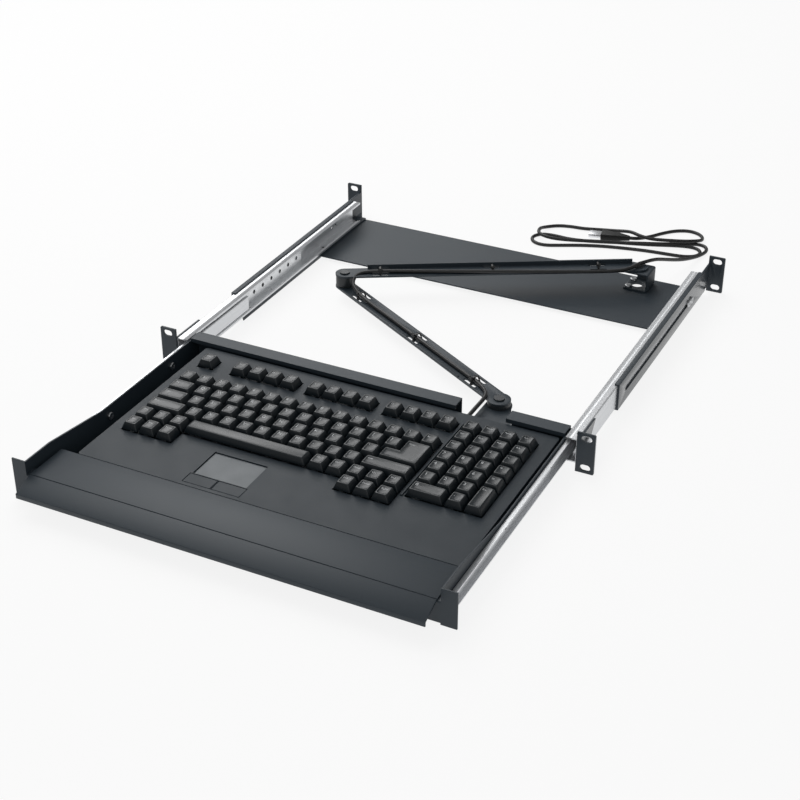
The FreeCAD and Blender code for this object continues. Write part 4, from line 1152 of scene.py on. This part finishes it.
    def build(self) -> None:
        """Makes the caps and legends of each node."""
        for node, keys in self.layout().items():
            caps = []
            letters = []
            for key in keys:
                place = Matrix.Translation(self.corner(key))
                caps.append(Workshop.copy_of(self.cap(key.width, key.depth), f"{node}_cap", place))
                if key.legend:
                    letters.append(self.legend(key))
            block = Workshop.join(caps, f"{node}_caps")
            Workshop.mount(block, node, CAPS, Slot.KEY_PLASTIC, node)
            if letters:
                self.lay_ink(letters, block, node)
        self.enter_cap()
        Workshop.drop(*self.patterns.values())


@dataclass
class Route:
    """A cable's line: its points in millimetres and its thickness."""

    points: Sequence[Point]
    diameter: float = 4.2 * MILLIMETRE

    def curve(self, name: str) -> bpy.types.Object:
        """The line as one smooth spline with a round section."""
        data = bpy.data.curves.new(name, "CURVE")
        data.dimensions = "3D"
        data.resolution_u = 10
        data.bevel_depth = self.diameter / 2
        data.bevel_resolution = 5
        data.use_fill_caps = True
        spline = data.splines.new("NURBS")
        spline.points.add(len(self.points) - 1)
        for target, place in zip(spline.points, self.points):
            target.co = (*(part * MILLIMETRE for part in place), 1.0)
        spline.order_u = 3
        spline.use_endpoint_u = True
        made = bpy.data.objects.new(name, data)
        bpy.context.scene.collection.objects.link(made)
        return made

    def tube(self, name: str) -> bpy.types.Object:
        """The line as a mesh tube."""
        made = self.curve(name)
        Workshop.pick(made)
        bpy.ops.object.convert(target="MESH")
        tube = bpy.context.active_object
        bpy.ops.object.shade_smooth()
        return tube


@dataclass
class CableArm:
    """The two links of the cable arm with their pivots, ties and cable, in millimetres."""

    rear_pivot: Point = (151.5, 318.3, 0.0)
    front_pivot: Point = (115.8, 2.4, 0.0)
    elbow: Point = (-140.52, 155.57, 0.0)
    rear_level: float = 28.0
    front_level: float = 13.2
    link_sheet: float = 2.0
    flange_rise: float = 0.8
    link_edge: float = 0.25
    near: float = 0.1
    stations: tuple[float, ...] = (0.12, 0.5, 0.86)
    tie_half: float = 6.7
    tie_low: float = -1.1
    tie_high: float = 7.4
    tie_width: float = 2.4
    tie_wall: float = 1.0
    tie_taper: float = 0.55
    tie_edge: float = 0.35
    tie_angle: float = 40.0
    head_size: Point = (4.6, 4.4, 2.6)
    head_side: float = 0.62
    head_sink: float = 0.2
    head_tilt: float = -38.0
    head_top: float = 0.6
    head_rim: float = 0.9
    head_dip: float = 0.7
    head_edge: float = 0.4
    tail_bend: int = 3
    elbow_reach: float = 15.0
    main_route: tuple[Point, ...] = (
        (87.0, 17.2, 17.4), (60.0, 33.0, 17.4), (20.0, 57.0, 17.4), (-20.0, 81.0, 17.4), (-60.0, 105.0, 17.4),
        (-90.0, 122.0, 17.6), (-112.0, 134.0, 20.0), (-127.0, 146.0, 25.5), (-126.0, 161.0, 31.0),
        (-108.0, 171.0, 32.3), (-80.0, 185.0, 32.2), (-40.0, 204.5, 32.2), (0.0, 224.0, 32.2),
        (40.0, 243.5, 32.2), (80.0, 263.0, 32.2), (112.0, 279.0, 32.2), (136.0, 292.0, 32.6),
        (147.0, 303.0, 33.2), (151.5, 318.6, 33.4),
    )
    tail_route: tuple[Point, ...] = (
        (101.2, -60.35, 14.5), (101.2, -48.0, 14.5), (101.2, -34.0, 14.6), (102.0, -18.0, 15.6),
        (103.0, -4.0, 16.8), (99.0, 8.0, 17.4), (87.0, 17.2, 17.4),
    )

    def lower_link(self) -> None:
        """The lower link, its front flange rolled down close to the sheet."""
        link = Workshop.of_node("front_link", "lower_link")
        face = (self.front_level + self.link_sheet) * MILLIMETRE
        crest = max(vertex.co.z for vertex in link.data.vertices)
        rim = crest - self.near * MILLIMETRE
        with Workshop.editing(link):
            Workshop.select(link, Element.VERTEX, lambda place, normal: place.z > rim)
            bpy.ops.transform.translate(value=(0.0, 0.0, face + self.flange_rise * MILLIMETRE - crest))
        Workshop.ease(link, self.link_edge * MILLIMETRE)
        Workshop.mount(link, "front_link", POWDER, Slot.BLACK_PAINT, "front_link")

    def tie(self) -> bpy.types.Object:
        """A cable tie: a band round the link and the cable, with its square head."""
        unit = MILLIMETRE
        height = self.tie_high - self.tie_low
        middle = (0.0, 0.0, (self.tie_high + self.tie_low) / 2 * unit)
        scale = (self.tie_width * unit, 2 * self.tie_half * unit, height * unit)
        band = Workshop.start("tie", bpy.ops.mesh.primitive_cube_add, size=1.0, location=middle, scale=scale)
        with Workshop.editing(band):
            Workshop.select(band, Element.FACE, looks_up)
            bpy.ops.transform.resize(value=(1.0, self.tie_taper, 1.0))
            Workshop.select(band, Element.FACE, lambda place, normal: abs(normal.x) > SQUARE_ON)
            bpy.ops.mesh.inset(thickness=self.tie_wall * unit)
            bpy.ops.mesh.bridge_edge_loops()
        Workshop.ease(band, self.tie_edge * unit, angle=self.tie_angle)
        head = Workshop.start(
            "tie_head", bpy.ops.mesh.primitive_cube_add, size=1.0,
            location=(0.0, -self.tie_half * self.head_side * unit, (self.tie_high - self.head_sink) * unit),
            rotation=(math.radians(self.head_tilt), 0.0, 0.0), scale=Vector(self.head_size) * unit,
        )
        with Workshop.editing(head):
            Workshop.select(head, Element.FACE, lambda place, normal: normal.z > self.head_top)
            bpy.ops.mesh.inset(thickness=self.head_rim * unit)
            bpy.ops.transform.translate(value=(0.0, 0.0, -self.head_dip * unit))
        Workshop.ease(head, self.head_edge * unit, angle=self.tie_angle)
        return Workshop.join([band, head], "tie")

    def tie_places(self, end: Point, level: float) -> list[Matrix]:
        """Where the ties sit on the link from the elbow to a pivot.

        Args:
            end: the link's outer pivot.
            level: the height of the link's underside.

        Returns:
            One matrix for each tie.
        """
        start = Vector(self.elbow) * MILLIMETRE
        span = Vector(end) * MILLIMETRE - start
        turn = Matrix.Rotation(math.atan2(span.y, span.x), 4, "Z")
        lift = Vector((0.0, 0.0, level * MILLIMETRE))
        return [Matrix.Translation(start + span * station + lift) @ turn for station in self.stations]

    def build(self) -> None:
        """Dresses the links, ties the cable to them and lays it along the arm."""
        dress_nodes(POWDER, "rear_link")
        self.lower_link()
        dress_nodes(PIVOT, "elbow_rivet", "front_pivot_pin", "rear_pivot_pin")
        tie = self.tie()
        links = (
            ("ties_front", "front_link", self.front_pivot, self.front_level),
            ("ties_rear", "rear_link", self.rear_pivot, self.rear_level),
        )
        for node, body, end, level in links:
            ties = [Workshop.copy_of(tie, f"{node}_one", place) for place in self.tie_places(end, level)]
            Workshop.mount(Workshop.join(ties, f"{node}_straps"), body, NYLON, Slot.CABLE_BLACK, node)
        Workshop.drop(tie)
        arm = self.lay("arm_cable", self.main_route, "front_link", "rear_link")
        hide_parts("cable_front", "cable_rear")
        tail = self.lay("tail_cable", self.tail_route, "tray", "front_link")
        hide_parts("cable_tail")

    def lay(
        self, name: str, route: Sequence[Point], before: str, after: str
    ) -> bpy.types.Object:
        """Lays a length of cable over one joint, as a mesh tube.

        Args:
            name: the piece's name.
            route: its points.
            before, after: the bodies at its two ends, named in the log, the first one at the front.

        Returns:
            The cable.
        """
        cable = Route(route).tube(name)
        Workshop.dress(cable, JACKET)
        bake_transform(cable)
        log.info("%s bends from %s to %s", name, before, after)
        return cable


@dataclass
class FreeCable:
    """The free end of the cable: a lead down to the floor, a loose bundle there, and its plug."""

    length: float = 1.145
    diameter: float = 4.2 * MILLIMETRE
    route: tuple[Point, ...] = (
        (151.5, 318.6, 33.4), (158.5, 331.0, 33.0), (163.5, 344.0, 30.5), (168.5, 358.5, 25.0),
        (174.5, 376.0, 18.0), (181.0, 396.0, 11.0), (187.0, 416.0, 6.0), (191.5, 432.0, 3.2),
        (194.5, 447.0, 2.2), (190.5, 458.5, 2.2), (180.0, 462.0, 2.2), (166.0, 455.5, 2.2),
        (148.0, 447.0, 2.2), (127.0, 438.0, 2.2), (104.0, 428.5, 2.2), (80.0, 419.0, 2.2),
        (56.0, 410.5, 2.2), (34.0, 406.0, 2.2), (14.0, 408.0, 2.2), (-2.0, 405.0, 2.2),
        (-9.0, 392.5, 2.2), (-2.5, 379.5, 2.2), (13.0, 376.0, 2.2), (33.0, 386.0, 2.2),
        (54.0, 396.5, 2.2), (78.0, 405.5, 2.2), (104.0, 412.0, 2.2), (130.0, 417.0, 2.2),
        (154.0, 419.0, 2.2), (174.0, 421.0, 2.2), (187.0, 428.0, 2.2), (190.0, 440.0, 2.2),
        (182.0, 449.5, 2.4), (168.0, 448.0, 3.0), (150.0, 439.5, 4.0), (130.0, 430.0, 4.6),
        (106.0, 420.0, 5.6), (82.0, 411.8, 6.2), (58.0, 403.0, 6.2), (36.0, 394.5, 6.4),
        (16.0, 389.0, 7.2), (-1.0, 393.5, 7.8), (-6.0, 408.5, 7.4), (-4.0, 424.0, 3.0),
        (8.0, 436.5, 2.2), (24.0, 441.0, 2.2), (40.0, 442.0, 2.2), (58.0, 448.0, 2.2),
        (76.0, 451.5, 3.0), (90.0, 449.0, 6.4), (101.0, 444.0, 9.6), (112.0, 438.0, 9.8),
        (128.0, 435.5, 9.4), (146.0, 442.0, 8.8), (164.0, 450.0, 8.0), (176.5, 458.0, 7.4),
        (182.0, 472.0, 3.6), (176.0, 487.5, 2.2), (160.5, 494.0, 2.2), (144.0, 487.0, 2.2),
        (131.0, 472.5, 2.2), (121.0, 456.0, 2.4), (112.5, 444.0, 3.6), (106.5, 439.0, 4.1),
        (100.0, 437.8, 4.1),
    )
    plug_edge: float = 1.2 * MILLIMETRE
    shell_edge: float = 0.3 * MILLIMETRE
    shell_angle: float = 40.0
    neck_length: float = 16.0 * MILLIMETRE
    neck_draw: Point = (1.0, 0.62, 0.82)

    def plug(self) -> bpy.types.Object:
        """The plug's moulding, its neck drawn in towards the cable."""
        body = Workshop.of_node("plug_body", "plug_moulding")
        before, end = (Vector(place) * MILLIMETRE for place in self.route[-2:])
        axis = (end - before).normalized()
        middle = end + axis * (self.neck_length / 2)
        with Workshop.editing(body):
            Workshop.select(
                body, Element.VERTEX, lambda place, normal: (place - end).dot(axis) < self.neck_length
            )
            bpy.ops.transform.resize(value=self.neck_draw, center_override=middle)
        Workshop.ease(body, self.plug_edge, 3)
        Workshop.mount(body, "rack", RUBBER, Slot.SOFT_RUBBER, "plug_body")
        return body

    def build(self) -> None:
        """Lays the cable and finishes the plug."""
        body = self.plug()
        shell = Workshop.of_node("plug_shell", "plug_sleeve")
        Workshop.ease(shell, self.shell_edge, angle=self.shell_angle)
        Workshop.mount(shell, "rack", SLEEVE, Slot.BRIGHT_STEEL, "plug_shell")
        cord = Route(self.route, self.diameter).curve("free_cable")
        Workshop.dress(cord, JACKET)
        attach(cord, "rack")
        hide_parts("cable_lead", "cable_bundle")
        log.info("free_cable is declared as a cord of %.2f m", self.length)


@dataclass(frozen=True)
class SoftBox:
    """A square soft lamp, turned towards the drawer."""

    name: str
    place: Point
    size: float
    power: float


@dataclass
class Studio:
    """The pale floor, the soft light and the camera at the photograph's viewing angle."""

    eye: Point = (0.634438, -1.26475, 0.839352)
    yaw: float = 26.41
    pitch: float = 31.152
    lens: float = 71.826
    sensor: float = 36.0
    nearest: float = 0.02
    floor_size: float = 40.0
    floor_colour: Colour = paint(252, 252, 252)
    bounce_colour: Colour = paint(140, 142, 144)
    floor_glow: float = 0.86
    floor_rough: float = 0.9
    ambient: float = 0.3
    gloss: float = 0.3
    lamps: tuple[SoftBox, ...] = (
        SoftBox("softbox_above", (-1.05, 0.5, 1.8), 1.7, 22.0),
        SoftBox("softbox_rear", (-1.5, 2.2, 1.7), 1.35, 15.0),
        SoftBox("softbox_front", (0.5, -1.7, 1.1), 1.2, 4.0),
    )

    def camera(self) -> None:
        """Sets the camera."""
        data = bpy.data.cameras.new("camera")
        data.lens = self.lens
        data.sensor_width = self.sensor
        data.clip_start = self.nearest
        camera = bpy.data.objects.new("camera", data)
        camera.location = self.eye
        camera.rotation_euler = (math.radians(90.0 - self.pitch), 0.0, math.radians(self.yaw))
        bpy.context.scene.collection.objects.link(camera)
        bpy.context.scene.camera = camera

    def light(self) -> None:
        """A wide soft lamp above, a large one behind that shows in level surfaces, a weak one in front."""
        for box in self.lamps:
            data = bpy.data.lights.new(box.name, "AREA")
            data.shape = "SQUARE"
            data.size = box.size
            data.energy = box.power
            lamp = bpy.data.objects.new(box.name, data)
            lamp.location = box.place
            lamp.rotation_euler = (-Vector(box.place)).to_track_quat("-Z", "Y").to_euler()
            bpy.context.scene.collection.objects.link(lamp)

    def world(self) -> None:
        """White to the eye, weaker as a light and in gloss."""
        world = bpy.data.worlds.new("studio")
        world.use_nodes = True
        bpy.context.scene.world = world
        book = NodeBook(world.node_tree)
        path = book.node("ShaderNodeLightPath")
        seen = Signal(book, path.outputs["Is Camera Ray"]) + Signal(book, path.outputs["Is Transmission Ray"])
        shine = Signal(book, path.outputs["Is Glossy Ray"])
        level = self.ambient + shine * (self.gloss - self.ambient) + seen * (1.0 - self.ambient)
        background = book.tree.nodes["Background"]
        background.inputs["Color"].default_value = WHITE
        book.tree.links.new(level.socket, background.inputs["Strength"])

    def floor(self) -> None:
        """A white floor that keeps a soft shadow."""
        floor = Workshop.start("floor", bpy.ops.mesh.primitive_plane_add, size=self.floor_size)
        with Workshop.editing(floor):
            bpy.ops.mesh.select_all(action="SELECT")
            bpy.ops.mesh.subdivide(number_cuts=2)
        recipe = Recipe("studio_floor")
        path = recipe.node("ShaderNodeLightPath")
        seen = Signal(recipe, path.outputs["Is Camera Ray"]) + Signal(recipe, path.outputs["Is Glossy Ray"])
        seen = (seen + Signal(recipe, path.outputs["Is Transmission Ray"])).above(0.0, 1.0)
        base = recipe.mix(seen, self.bounce_colour, self.floor_colour)
        recipe.finish(Base_Color=base, Roughness=self.floor_rough)
        glow = recipe.node("ShaderNodeEmission", None, {"Color": WHITE, "Strength": 1.0})
        share = recipe.node("ShaderNodeMixShader", None, {0: seen * self.floor_glow})
        recipe.tree.links.new(recipe.shader.outputs[0], share.inputs[1])
        recipe.tree.links.new(glow.outputs[0], share.inputs[2])
        recipe.tree.links.new(share.outputs[0], recipe.tree.nodes["Material Output"].inputs["Surface"])
        floor.data.materials.append(recipe.material)

    def build(self) -> None:
        """Sets up the studio."""
        bpy.context.scene.view_settings.view_transform = "Standard"
        self.camera()
        self.world()
        self.light()
        self.floor()


def main() -> None:
    """Builds every sub-assembly."""
    logging.basicConfig(level=logging.INFO, format="%(name)s: %(message)s")
    assemblies = (
        Studio(), FreeCable(), CableArm(), RackFrame(), DrawerTray(), KeyboardCase(), KeyField(), PanScrew(),
    )
    for assembly in assemblies:
        assembly.build()
        log.info("%s is built", type(assembly).__name__)


if __name__ == "__main__":
    main()
